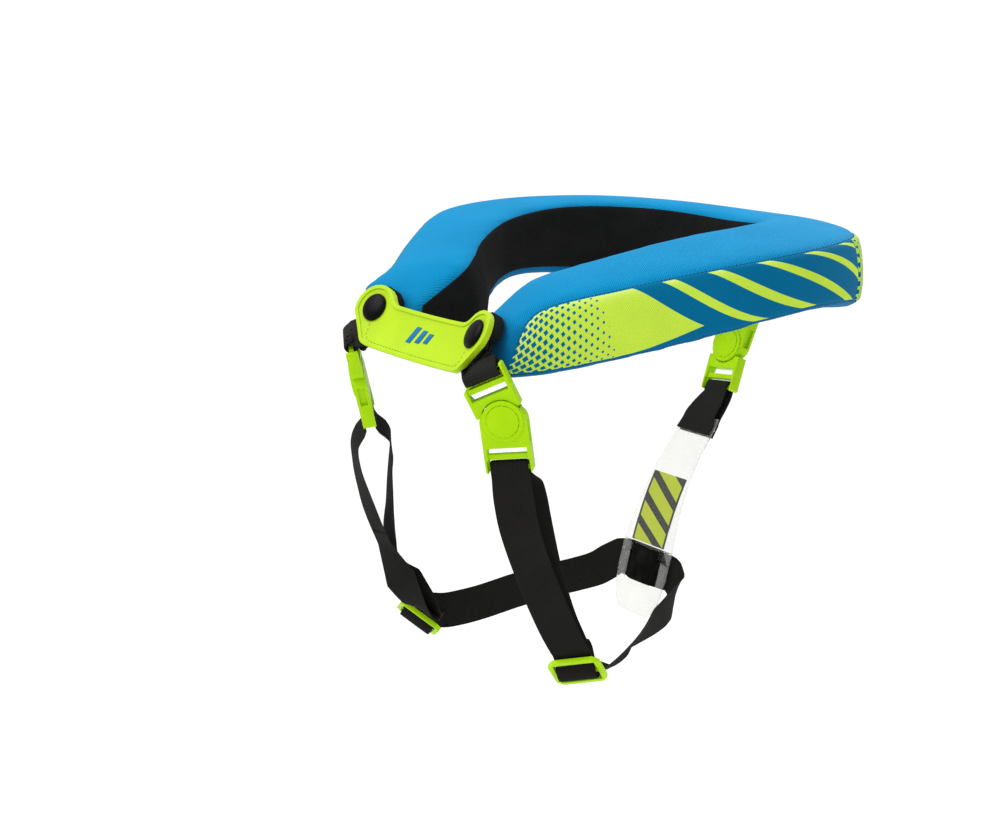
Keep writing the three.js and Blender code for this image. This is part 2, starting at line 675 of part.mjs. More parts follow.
// Harness strap: rows of each pass, in the slider's frame, between slider and buckle, and round the back.
const SEWN_END = [
  { up: 14.5, out: -8.4 },
  { up: 11.5, out: -8.6 },
  { up: 8.2, out: -7.9 },
  { up: 5.2, out: -5.3 },
  { up: 2.6, out: -3.5 },
  { up: 0, out: -2.65 },
  { up: -1.9, out: -1.9 },
  { up: -2.65, out: 0 },
  { up: -1.9, out: 1.9 },
  { up: 0, out: 2.65 },
  { up: 2, out: 1.8 },
  { up: 5, out: -1.6 },
  { up: 8.2, out: -5 },
  { up: 10.5, out: -5.9 },
  { up: 13.5, out: -6 },
];
const RUNNING_PASS = [
  { up: 14, out: -3.6 },
  { up: 10.6, out: -3.5 },
  { up: 8.2, out: -2.7 },
  { up: 5.6, out: 0.1 },
  { up: 3.1, out: 2.9 },
  { up: 0, out: 4.3 },
  { up: -3.1, out: 2.9 },
  { up: -5.6, out: 0.1 },
  { up: -8.2, out: -2.7 },
  { up: -10.6, out: -4.4 },
  { up: -12.6, out: -7.6 },
];
const LAYERS = {
  left: {
    back: [
      { share: 0.68, out: 5.5, shift: 0 },
      { share: 0.45, out: 1, shift: 0 },
      { share: 0.25, out: -5, shift: 0 },
      { share: 0.12, out: -8.5, shift: 0 },
    ],
    face: [
      { share: 0.12, out: 11, shift: 0 },
      { share: 0.35, out: 12.5, shift: 0 },
      { share: 0.6, out: 9, shift: 0 },
    ],
    backLead: [{ up: 20.5, out: -6, shift: -5 }],
    faceLead: [{ up: 22, out: 0, shift: -5 }],
  },
  right: {
    back: [
      { share: 0.74, out: -1, shift: -2 },
      { share: 0.48, out: -3.2, shift: -2 },
      { share: 0.26, out: -8, shift: -0.5 },
      { share: 0.12, out: -9.5, shift: 0.5 },
    ],
    face: [
      { share: 0.12, out: 6.5, shift: -1.5 },
      { share: 0.26, out: 7.5, shift: -3.5 },
      { share: 0.5, out: 3, shift: -5 },
      { share: 0.76, out: 4, shift: -2 },
    ],
    backLead: [],
    faceLead: [],
  },
};
const BACK_LOOP = {
  left: [
    { at: [-73, -63, -193.5], across: [-0.1, 0.3, 0.9] },
    { at: [-61.5, -47, -189], across: [-0.1, 0.1, 0.98] },
    { at: [-53, -29, -183.5], across: [-0.1, 0.1, 0.98] },
    { at: [-43.5, -6, -178.5], across: [0, 0.2, 0.97] },
    { at: [-32, 15.5, -173], across: [0, 0.25, 0.96] },
  ],
  right: [
    { at: [67, -58, -185.5], across: [0.8, 0.3, 0.5] },
    { at: [61.5, -44, -183], across: [0.8, -0.1, 0.6] },
    { at: [54, -28, -180], across: [0.7, -0.2, 0.66] },
    { at: [46, -11, -178], across: [0.3, 0, 0.95] },
    { at: [38.5, 7, -176.5], across: [0.05, 0.1, 0.99] },
    { at: [30, 21.5, -172.5], across: [0, 0.2, 0.97] },
  ],
};
const TAB_PASS = [
  { x: -22, out: -2 },
  { x: -17, out: -2.3 },
  { x: -13.4, out: -1.7 },
  { x: -10.8, out: 0 },
  { x: -8.2, out: 1.7 },
  { x: -4.5, out: 2.2 },
];

function sideStations(side, frames) {
  const slider = frameAt(vec(side.slider), vec(side.sliderFace), vec(side.sliderUp));
  const hint = new THREE.Vector3().setFromMatrixColumn(slider, 0);
  const socket = frames.socket;
  const across = new THREE.Vector3().setFromMatrixColumn(socket, 0);
  const turned = Math.sign(across.dot(hint));
  const from = new THREE.Vector3(0, STRAP_END.bar, 0).applyMatrix4(socket);
  const to = vec(side.slider);
  const layers = LAYERS[side.name];
  const face = vec(side.buckleFace);
  const outward = flip([0.738, 0.651, 0], side.sign);
  const between = (rows) => rows.map((row) => ({
    at: from.clone()
      .lerp(to, row.share)
      .addScaledVector(face, row.out)
      .addScaledVector(outward, row.shift),
    across: across.clone().multiplyScalar(turned).lerp(hint, row.share ** 2),
    width: ELASTIC.width,
  }));
  const fold = barFold(socket, ELASTIC.fold).reverse();
  for (const row of fold) row.across.multiplyScalar(turned);
  const loop = BACK_LOOP[side.name].map((row) => {
    return { at: vec(row.at), across: vec(row.across), width: ELASTIC.width };
  });
  for (const row of loop) row.across.multiplyScalar(Math.sign(row.across.dot(hint)));
  const upright = loop[loop.length - 1].across.z > 0 ? 1 : -1;
  const pass = TAB_PASS.map((row) => ({
    at: new THREE.Vector3(-side.sign * row.x, 0, row.out).applyMatrix4(tabSlotFrame),
    across: new THREE.Vector3(0, 0.29, 0.957).multiplyScalar(upright),
    width: ELASTIC.width,
  }));
  return [
    ...stationsIn(slider, SEWN_END, ELASTIC.width),
    ...stationsIn(slider, layers.backLead, ELASTIC.width),
    ...between(layers.back),
    ...fold,
    ...between(layers.face),
    ...stationsIn(slider, layers.faceLead, ELASTIC.width),
    ...stationsIn(slider, RUNNING_PASS, ELASTIC.width),
    ...loop,
    ...pass,
  ];
}

function harnessStrap() {
  const [left, right] = SIDES.map((side, i) => sideStations(side, frontBuckles[i]));
  const ahead = left[left.length - 1].across;
  const behind = right[right.length - 1].across;
  const turned = Math.sign(ahead.dot(behind));
  for (const row of right) row.across.multiplyScalar(turned);
  return ribbon([...left, ...right.reverse()], ELASTIC.thick, 2);
}

const group = new THREE.Group();

function piece(name, geometry, material) {
  const mesh = new THREE.Mesh(geometryOf(solid(geometry)), material);
  mesh.name = name;
  mesh.geometry.computeVertexNormals();
  group.add(mesh);
}

const lift = [-SKIN + 0.2, 0.2];
const cut = [-SKIN - 0.35, 4];
const sideStops = panelStops(PANEL.rearEdge + PANEL.seamHalf, 0);
const rearStops = stopsBetween(-PANEL.rearEdge + PANEL.seamHalf, PANEL.rearEdge - PANEL.seamHalf);
const roomStops = panelStops(0, RECESS_GROW);
const bothSides = [...roomStops.slice(1).reverse().map((s) => -s), ...roomStops];
const outerRoom = panelSheet(bothSides, RECESS_GROW, cut);
const pad = padBody()
  .subtract(solid(outerRoom))
  .subtract(solid(liningSheet(RECESS_GROW, [cut[0] - 0.35, cut[1]])));

piece('collar_pad', geometryOf(pad), JERSEY_BLUE);
piece('neck_lining', liningSheet(0, lift), LINING_BLACK);
piece('rear_panel', panelSheet(rearStops, 0, [lift[0], lift[1] + 0.7]), PRINT_BLUE);
piece('side_panel_left', panelSheet(sideStops.map((s) => -s).reverse(), 0, lift), PRINT_LIME);
piece('side_panel_right', panelSheet(sideStops, 0, lift), PRINT_LIME);
piece('front_plate', frontPlate(), RUBBER_LIME);

SIDES.forEach((side, i) => {
  const frames = frontBuckles[i];
  const slider = frameAt(vec(side.slider), vec(side.sliderFace), vec(side.sliderUp));
  piece(`snap_cap_${side.name}`, snapCap(side), SNAP_BLACK);
  piece(`snap_tab_${side.name}`, snapTab(side), LINING_BLACK);
  piece(`hanger_loop_${side.name}`, frontHanger(side, frames), WEBBING_BLACK);
  piece(`buckle_plug_${side.name}`, bucklePlug().applyMatrix4(frames.plug), BUCKLE_LIME);
  piece(`buckle_socket_${side.name}`, buckleSocket().applyMatrix4(frames.socket), BUCKLE_LIME);
  piece(`slider_${side.name}`, sliderFrame().applyMatrix4(slider), BUCKLE_LIME);
});

piece('hanger_loop_rear', rearHanger(), WEBBING_BLACK);
piece('buckle_socket_rear', buckleSocket().applyMatrix4(rearBuckle.socket), BUCKLE_LIME);
piece('buckle_plug_rear', bucklePlug().applyMatrix4(rearBuckle.plug), BUCKLE_LIME);
piece('tab_loop', tabLoop(), WEBBING_BLACK);
piece('back_tab', backTab(), TAB_CLEAR);
piece('harness_strap', harnessStrap(), ELASTIC_BLACK);

export default group;
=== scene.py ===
"""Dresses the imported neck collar: padded ring, printed panels, snap plate, buckles and harness."""

import itertools
import json
import logging
import math
from dataclasses import dataclass, field
from enum import Enum
from typing import Callable, Dict, Iterator, List, Optional, Sequence, Tuple, Union

import bmesh
import bpy
from mathutils import Matrix, Vector
from mathutils.bvhtree import BVHTree

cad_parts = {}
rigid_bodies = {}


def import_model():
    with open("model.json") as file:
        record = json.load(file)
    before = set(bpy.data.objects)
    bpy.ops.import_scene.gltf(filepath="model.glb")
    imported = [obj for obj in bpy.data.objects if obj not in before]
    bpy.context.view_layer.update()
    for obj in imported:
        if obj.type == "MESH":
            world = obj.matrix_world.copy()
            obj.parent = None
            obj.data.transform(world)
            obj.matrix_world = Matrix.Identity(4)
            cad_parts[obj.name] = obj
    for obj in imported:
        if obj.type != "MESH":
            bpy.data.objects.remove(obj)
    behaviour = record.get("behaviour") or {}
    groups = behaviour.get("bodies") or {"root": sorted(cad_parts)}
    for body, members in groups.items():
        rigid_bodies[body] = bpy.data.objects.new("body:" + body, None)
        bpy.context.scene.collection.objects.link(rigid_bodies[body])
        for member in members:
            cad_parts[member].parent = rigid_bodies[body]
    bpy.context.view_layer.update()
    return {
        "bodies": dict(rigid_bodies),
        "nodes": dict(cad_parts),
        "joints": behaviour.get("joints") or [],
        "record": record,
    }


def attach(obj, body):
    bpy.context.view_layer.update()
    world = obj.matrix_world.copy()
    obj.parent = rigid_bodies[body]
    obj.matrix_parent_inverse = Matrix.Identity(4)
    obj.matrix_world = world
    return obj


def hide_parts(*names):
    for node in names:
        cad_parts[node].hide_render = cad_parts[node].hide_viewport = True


LOG = logging.getLogger("neck_collar")
MM = 0.001
PANEL_HEIGHT = 34
LANDING_START = 9
LANDING_REACH = 20
Mesh = bmesh.types.BMesh
Vert = bmesh.types.BMVert
Material = bpy.types.Material
Node = bpy.types.Node
Piece = bpy.types.Object
Socket = bpy.types.NodeSocket
Tree = bpy.types.NodeTree
Pair = Tuple[float, float]
Spot = Tuple[float, float, float]
Colour = Tuple[float, float, float, float]
Fed = Union[Socket, float, Colour]
Look = Tuple[Fed, Fed, Optional[Socket]]
Extras = Sequence[Tuple[str, Fed]]


class Side(Enum):
    """The two halves of the collar, by the sign of x."""

    LEFT = -1
    RIGHT = 1

    @property
    def word(self) -> str:
        """The word that the node names carry."""
        return self.name.lower()


class Print(Enum):
    """The prints of the outer canvas."""

    ARROW = "arrow"
    CHECKS = "checks"


def mm(x: float, y: float, z: float) -> Vector:
    """A point given in millimetres."""
    return Vector((x, y, z)) * MM


def paint(red: int, green: int, blue: int) -> Colour:
    """A display colour, 0 to 255, as a linear one."""
    linear = [c / 3294.6 if c <= 10 else ((c / 255 + 0.055) / 1.055) ** 2.4 for c in (red, green, blue)]
    return (linear[0], linear[1], linear[2], 1.0)


def darker(colour: Colour, share: float) -> Colour:
    """A colour with a share of its light."""
    return (colour[0] * share, colour[1] * share, colour[2] * share, 1.0)


def frame_at(origin: Vector, face: Vector, up: Vector) -> Matrix:
    """Places a piece by where it faces and which way its top points.

    Args:
        origin: The place of the piece, in metres.
        face: The way its front looks.
        up: The way its top points.

    Returns:
        The matrix from the piece's own axes to the collar's.
    """
    z = face.normalized()
    x = up.cross(z).normalized()
    return Matrix.Translation(origin) @ Matrix((x, z.cross(x), z)).transposed().to_4x4()


def soft_line(points: Sequence[Vector], t: float) -> Vector:
    """A point on the centripetal curve through some points.

    Args:
        points: The points that the curve meets.
        t: The place along it, from 0 to 1.

    Returns:
        The point there.
    """
    last = len(points) - 1
    i = min(int(t * last), last - 1)
    w = t * last - i
    b, c = points[i], points[i + 1]
    a = points[i - 1] if i else 2 * b - c
    d = points[i + 2] if i + 2 <= last else 2 * c - b
    gaps = [max((q - p).length_squared ** 0.25, 1e-6) for p, q in ((a, b), (b, c), (c, d))]
    leave = ((b - a) / gaps[0] - (c - a) / (gaps[0] + gaps[1]) + (c - b) / gaps[1]) * gaps[1]
    reach = ((c - b) / gaps[1] - (d - b) / (gaps[1] + gaps[2]) + (d - c) / gaps[2]) * gaps[1]
    return b + leave * w + (3 * (c - b) - 2 * leave - reach) * w * w + (2 * (b - c) + leave + reach) * w ** 3


def soft_points(points: Sequence[Vector], count: int) -> List[Vector]:
    """Points along the whole of a soft line."""
    return [soft_line(points, k / count) for k in range(count + 1)]


def landed(surface: BVHTree, base: Vector, out: Vector) -> Vector:
    """Where a surface is met on the way in to a point near it, from LANDING_START millimetres out.

    Args:
        surface: The surface.
        base: The point, in metres.
        out: The way out of the surface.

    Returns:
        The place, or the point itself where nothing is met.
    """
    return surface.ray_cast(base + out * LANDING_START * MM, -out, LANDING_REACH * MM)[0] or base


def extrude_chain(bm: Mesh, verts: Sequence[Vert], closed: bool) -> List[Vert]:
    """Extrudes a chain of vertices by one step.

    Args:
        bm: The mesh.
        verts: The chain, in order.
        closed: True where its last vertex joins its first.

    Returns:
        The new chain, in the same order and still in the old place.
    """
    pairs = list(zip(verts, [*verts[1:], verts[0]] if closed else verts[1:]))
    edges = [bm.edges.get(pair) or bm.edges.new(pair) for pair in pairs]
    made = bmesh.ops.extrude_edge_only(bm, edges=edges)["geom"]
    fresh = {v for v in made if isinstance(v, Vert)}
    return [next(e.other_vert(v) for e in v.link_edges if e.other_vert(v) in fresh) for v in verts]


def close_ends(bm: Mesh) -> None:
    """Fills the open ends of a mesh and turns its faces outward."""
    bmesh.ops.holes_fill(bm, edges=[e for e in bm.edges if e.is_boundary], sides=0)
    bmesh.ops.recalc_face_normals(bm, faces=bm.faces)


def bevel(bm: Mesh, edges: Sequence[bmesh.types.BMEdge], width: float, segments: int) -> Dict[str, list]:
    """Rounds edges.

    Args:
        bm: The mesh.
        edges: The edges.
        width: The width of the rounding, in metres.
        segments: Its steps.

    Returns:
        What was made, by kind.
    """
    return bmesh.ops.bevel(
        bm, geom=edges, offset=width, offset_type="OFFSET", affect="EDGES", segments=segments,
        profile=0.5, material=-1, clamp_overlap=True,
    )


def linked(name: str, bm: Mesh) -> Piece:
    """Makes an object of a mesh and links it to the scene.

    Args:
        name: The object's name.
        bm: The mesh, which is freed.

    Returns:
        The object.
    """
    mesh = bpy.data.meshes.new(name)
    bm.to_mesh(mesh)
    bm.free()
    piece = bpy.data.objects.new(name, mesh)
    bpy.context.scene.collection.objects.link(piece)
    return piece


class Graph:
    """Adds nodes to one shader tree and joins their sockets."""

    def __init__(self, tree: Tree) -> None:
        """Keeps the tree that takes the nodes."""
        self.tree = tree

    def add(self, kind: str, **settings: object) -> Node:
        """Adds a node.

        Args:
            kind: The node's type name.
            settings: Properties set on it.

        Returns:
            The new node.
        """
        node = self.tree.nodes.new(kind)
        for key, value in settings.items():
            setattr(node, key, value)
        return node

    def feed(self, socket: Socket, value: Fed) -> None:
        """Links a socket to another, or sets its constant."""
        if isinstance(value, Socket):
            self.tree.links.new(value, socket)
        else:
            socket.default_value = value

    def fill(self, node: Node, *values: Fed) -> Socket:
        """Feeds a node's first inputs and gives its first output."""
        for socket, value in zip(node.inputs, values):
            self.feed(socket, value)
        return node.outputs[0]

    def give(self, node: Node, **inputs: Fed) -> Node:
        """Feeds a node's named inputs and gives the node back."""
        for key, value in inputs.items():
            self.feed(node.inputs[key], value)
        return node

    def sums(self, operation: str, a: Fed, b: Fed = 0.0, c: Fed = 0.0) -> Socket:
        """The output of a Math node."""
        return self.fill(self.add("ShaderNodeMath", operation=operation), a, b, c)

    def line(self, x: Fed, slope: Fed, start: Fed) -> Socket:
        """A straight line, x times slope plus start."""
        return self.sums("MULTIPLY_ADD", x, slope, start)

    def curve(self, x: Fed, start: float, slope: float, bend: float) -> Socket:
        """A value that changes along x, with a bend."""
        return self.line(x, self.line(x, bend, slope), start)

    def wave(self, x: Fed) -> Socket:
        """A sine between 0 and 1."""
        return self.line(self.sums("SINE", x), 0.5, 0.5)

    def ramp(self, x: Fed, low: float, high: float, first: float = 0.0, last: float = 1.0) -> Socket:
        """A smooth, clamped change of a value between two limits."""
        return self.fill(self.add("ShaderNodeMapRange", interpolation_type="SMOOTHSTEP"), x, low, high, first, last)

    def blend(self, share: Fed, first: Fed, second: Fed) -> Socket:
        """A colour between two others."""
        node = self.add("ShaderNodeMix", data_type="RGBA")
        for index, value in ((0, share), (6, first), (7, second)):
            self.feed(node.inputs[index], value)
        return node.outputs[2]

    def tint(self, mask: Fed, share: float, first: Fed, second: Fed) -> Socket:
        """A colour that takes a share of another where a mask is 1."""
        return self.blend(self.sums("MULTIPLY", mask, share), first, second)

    def parts(self, vector: Socket) -> Tuple[Socket, Socket, Socket]:
        """The three numbers of a vector."""
        x, y, z = self.give(self.add("ShaderNodeSeparateXYZ"), Vector=vector).outputs
        return x, y, z

    def noise(self, vector: Socket, scale: Fed, detail: float = 3.0) -> Socket:
        """The value of a noise texture."""
        return self.give(self.add("ShaderNodeTexNoise"), Vector=vector, Scale=scale, Detail=detail).outputs[0]

    def use(self, group: Tree, **inputs: Fed) -> Dict[str, Socket]:
        """Places a node group.

        Args:
            group: The group's tree.
            inputs: What its named inputs take.

        Returns:
            Its outputs by name.
        """
        node = self.give(self.add("ShaderNodeGroup", node_tree=group), **inputs)
        return {socket.name: socket for socket in node.outputs}


class Effects:
    """Surface effects that several finishes share, each built once."""

    def __init__(self) -> None:
        """Builds the groups."""
        self.weave = self.make_weave()
        self.ribs = self.make_ribs()
        self.mottle = self.make_mottle()
        self.wear = self.make_wear()

    @staticmethod
    def start(name: str, inputs: Sequence[str], outputs: Sequence[str]) -> Tuple[Graph, Dict[str, Socket], Node]:
        """Opens a node group.

        Args:
            name: The group's name.
            inputs: The names of its inputs, which are numbers except for Vector.
            outputs: The names of its values.

        Returns:
            Its graph, its inputs by name, and its output node.
        """
        tree = bpy.data.node_groups.new(name, "ShaderNodeTree")
        for way, keys in (("INPUT", inputs), ("OUTPUT", outputs)):
            for key in keys:
                kind = "NodeSocketVector" if key == "Vector" else "NodeSocketFloat"
                tree.interface.new_socket(key, in_out=way, socket_type=kind)
        graph = Graph(tree)
        given = graph.add("NodeGroupInput").outputs
        return graph, {key: given[key] for key in inputs}, graph.add("NodeGroupOutput")

    def make_weave(self) -> Tree:
        """Diagonal ridges of twisted threads, crossed by a finer set.

        Returns:
            The group, with the cloth's height and how deep a spot lies between threads.
        """
        g, given, out = self.start("thread_weave", ("U", "V", "Pitch", "Slant"), ("Height", "Gap"))
        finer = 1.7
        turns = g.sums("DIVIDE", math.tau, given["Pitch"])
        ridge = g.sums("MULTIPLY", g.line(given["V"], given["Slant"], given["U"]), turns)
        cross = g.sums("SUBTRACT", given["V"], g.sums("MULTIPLY", given["U"], given["Slant"]))
        fine = g.sums("MULTIPLY", g.sums("MULTIPLY", cross, turns), finer)
        height = g.sums("MULTIPLY", g.wave(ridge), g.line(g.wave(fine), 0.45, 0.55))
        g.give(out, Height=height, Gap=g.ramp(height, 0.3, 0.0))
        return g.tree

    def make_ribs(self) -> Tree:
        """Ribs of a narrow woven band, with its picks.

        Returns:
            The group, with the band's height.
        """
        g, given, out = self.start("band_ribs", ("Run", "Cross", "Pitch"), ("Height",))
        finer, flatness = 1.4, 0.6
        turns = g.sums("DIVIDE", math.tau, given["Pitch"])
        rib = g.wave(g.sums("MULTIPLY", given["Run"], turns))
        pick = g.wave(g.sums("MULTIPLY", g.sums("MULTIPLY", given["Cross"], turns), finer))
        height = g.sums("MULTIPLY", g.sums("POWER", rib, flatness), g.line(pick, 0.3, 0.7))
        g.give(out, Height=height)
        return g.tree

    def make_mottle(self) -> Tree:
        """Broad patches and fine specks.

        Returns:
            The group, with both as values from 0 to 1.
        """
        g, given, out = self.start("mottle", ("Vector", "Patches", "Specks"), ("Patch", "Speck"))
        patch = g.ramp(g.noise(given["Vector"], given["Patches"]), 0.3, 0.7)
        speck = g.ramp(g.noise(given["Vector"], given["Specks"], 5.0), 0.25, 0.75)
        g.give(out, Patch=patch, Speck=speck)
        return g.tree

    def make_wear(self) -> Tree:
        """Edge wear and a painted highlight: the softened edges of a moulding, broken up by scuffs.

        Returns:
            The group, with the share of a spot that takes the edge colour of wear and painted highlight.
        """
        g, given, out = self.start("edge_wear", ("Vector", "Edge"), ("Rubbed",))
        scuff_scale = 420.0
        scuff = g.ramp(g.noise(given["Vector"], scuff_scale, 4.0), 0.35, 0.75)
        g.give(out, Rubbed=g.sums("MULTIPLY", given["Edge"], g.line(scuff, 0.7, 0.3)))
        return g.tree


@dataclass(frozen=True)
class Finish:
    """What every finish has: a colour, a shine, a relief and the scales of its patches and specks."""

    name: str
    colour: Colour
    roughness: float = 0.8
    spread: float = 0.16
    specular: float = 0.5
    depth: float = 0.0
    patches: float = 40.0
    specks: float = 1500.0
    extras: Extras = ()

    @staticmethod
    def band(graph: Graph) -> Socket:
        """The cloth coordinates stored on a piece, in metres."""
        return graph.add("ShaderNodeAttribute", attribute_name="weave").outputs["Vector"]

    @staticmethod
    def place(graph: Graph) -> Socket:
        """The piece's own coordinates, in metres."""
        return graph.add("ShaderNodeTexCoord").outputs["Object"]

    def spots(self, graph: Graph, effects: Effects) -> Dict[str, Socket]:
        """The finish's patches and specks."""
        return graph.use(effects.mottle, Vector=self.place(graph), Patches=self.patches, Specks=self.specks)

    def rough(self, graph: Graph, mask: Socket) -> Socket:
        """The roughness, spread evenly by a mask from 0 to 1."""
        return graph.line(mask, self.spread, self.roughness - self.spread / 2)

    def look(self, g: Graph, effects: Effects) -> Look:
        """Builds the nodes of the finish.

        Args:
            g: The material's graph.
            effects: The shared surface effects.

        Returns:
            The colour, the roughness and, where there is a relief, its height from 0 to 1.
        """
        raise NotImplementedError

    def material(self, effects: Effects) -> Material:
        """Makes the finish's material.

        Args:
            effects: The shared surface effects.

        Returns:
            The material.
        """
        material = bpy.data.materials.new(self.name)
        material.use_nodes = True
        g = Graph(material.node_tree)
        colour, rough, height = self.look(g, effects)
        inputs = {"Base Color": colour, "Roughness": rough, "Specular IOR Level": self.specular, **dict(self.extras)}
        if height is not None:
            relief = g.give(g.add("ShaderNodeBump"), Strength=1.0, Distance=self.depth, Height=height)
            inputs["Normal"] = relief.outputs[0]
        g.give(material.node_tree.nodes["Principled BSDF"], **inputs)
        return material


@dataclass(frozen=True)
class Jersey(Finish):
    """Stretch jersey with a fine diagonal rib, with painted shade where it doesn't face up and between the threads.
    """

    spread: float = 0.14
    specular: float = 0.06
    depth: float = 0.09 * MM
    patches: float = 26.0
    specks: float = 900.0
    pitch: float = 1.05 * MM
    rib_way: Pair = (0.839, 0.545)
    rib_climb: float = 0.6
    # side: a painted shade colour for the parts of the pad that face sideways or down.
    side: Colour = paint(0, 103, 151)
    # Painted shade between the threads, also the random tone of the darker patches.
    valley: Colour = paint(0, 74, 122)
    slopes: Pair = (0.1, 0.92)
    gap_share: float = 0.6
    patch_share: float = 0.16
    extras: Extras = (("Sheen Weight", 0.05), ("Sheen Tint", (0.6, 0.85, 1.0, 1.0)))

    def look(self, g: Graph, effects: Effects) -> Look:
        """Ribs, with painted shade between them and on the pad's sides, and darker random patches."""
        x, y, z = g.parts(self.place(g))
        side = g.sums("ABSOLUTE", x)
        ahead, aside = self.rib_way
        u = g.line(side, ahead, g.sums("MULTIPLY", y, aside))
        v = g.line(side, -aside, g.line(y, ahead, g.sums("MULTIPLY", z, self.rib_climb)))
        cloth = g.use(effects.weave, U=u, V=v, Pitch=self.pitch, Slant=0.0)
        spots = self.spots(g, effects)
        slope = g.add("ShaderNodeAttribute", attribute_name="upward").outputs["Fac"]
        # Painted shade: the top colour where the pad faces up, the side colour where it doesn't.
        shade = g.blend(g.ramp(slope, *self.slopes), self.side, self.colour)
        # Painted shade in the gaps between threads; the patch tint after it is random tone.
        shade = g.tint(cloth["Gap"], self.gap_share, shade, self.valley)
        shade = g.tint(spots["Patch"], self.patch_share, shade, self.valley)
        return shade, self.rough(g, spots["Speck"]), cloth["Height"]


@dataclass(frozen=True)
class Fleece(Finish):
    """Brushed black fleece."""

    spread: float = 0.1
    specular: float = 0.06
    depth: float = 0.2 * MM
    patches: float = 60.0
    nap: float = 700.0
    lint: Colour = (0.02, 0.02, 0.021, 1.0)
    speck_share: float = 0.35
    patch_share: float = 0.2

    def look(self, g: Graph, effects: Effects) -> Look:
        """A soft nap with lint."""
        spots = self.spots(g, effects)
        nap = g.noise(self.place(g), self.nap, 6.0)
        shade = g.tint(spots["Speck"], self.speck_share, self.colour, self.lint)
        shade = g.tint(spots["Patch"], self.patch_share, shade, self.lint)
        return shade, self.rough(g, nap), nap


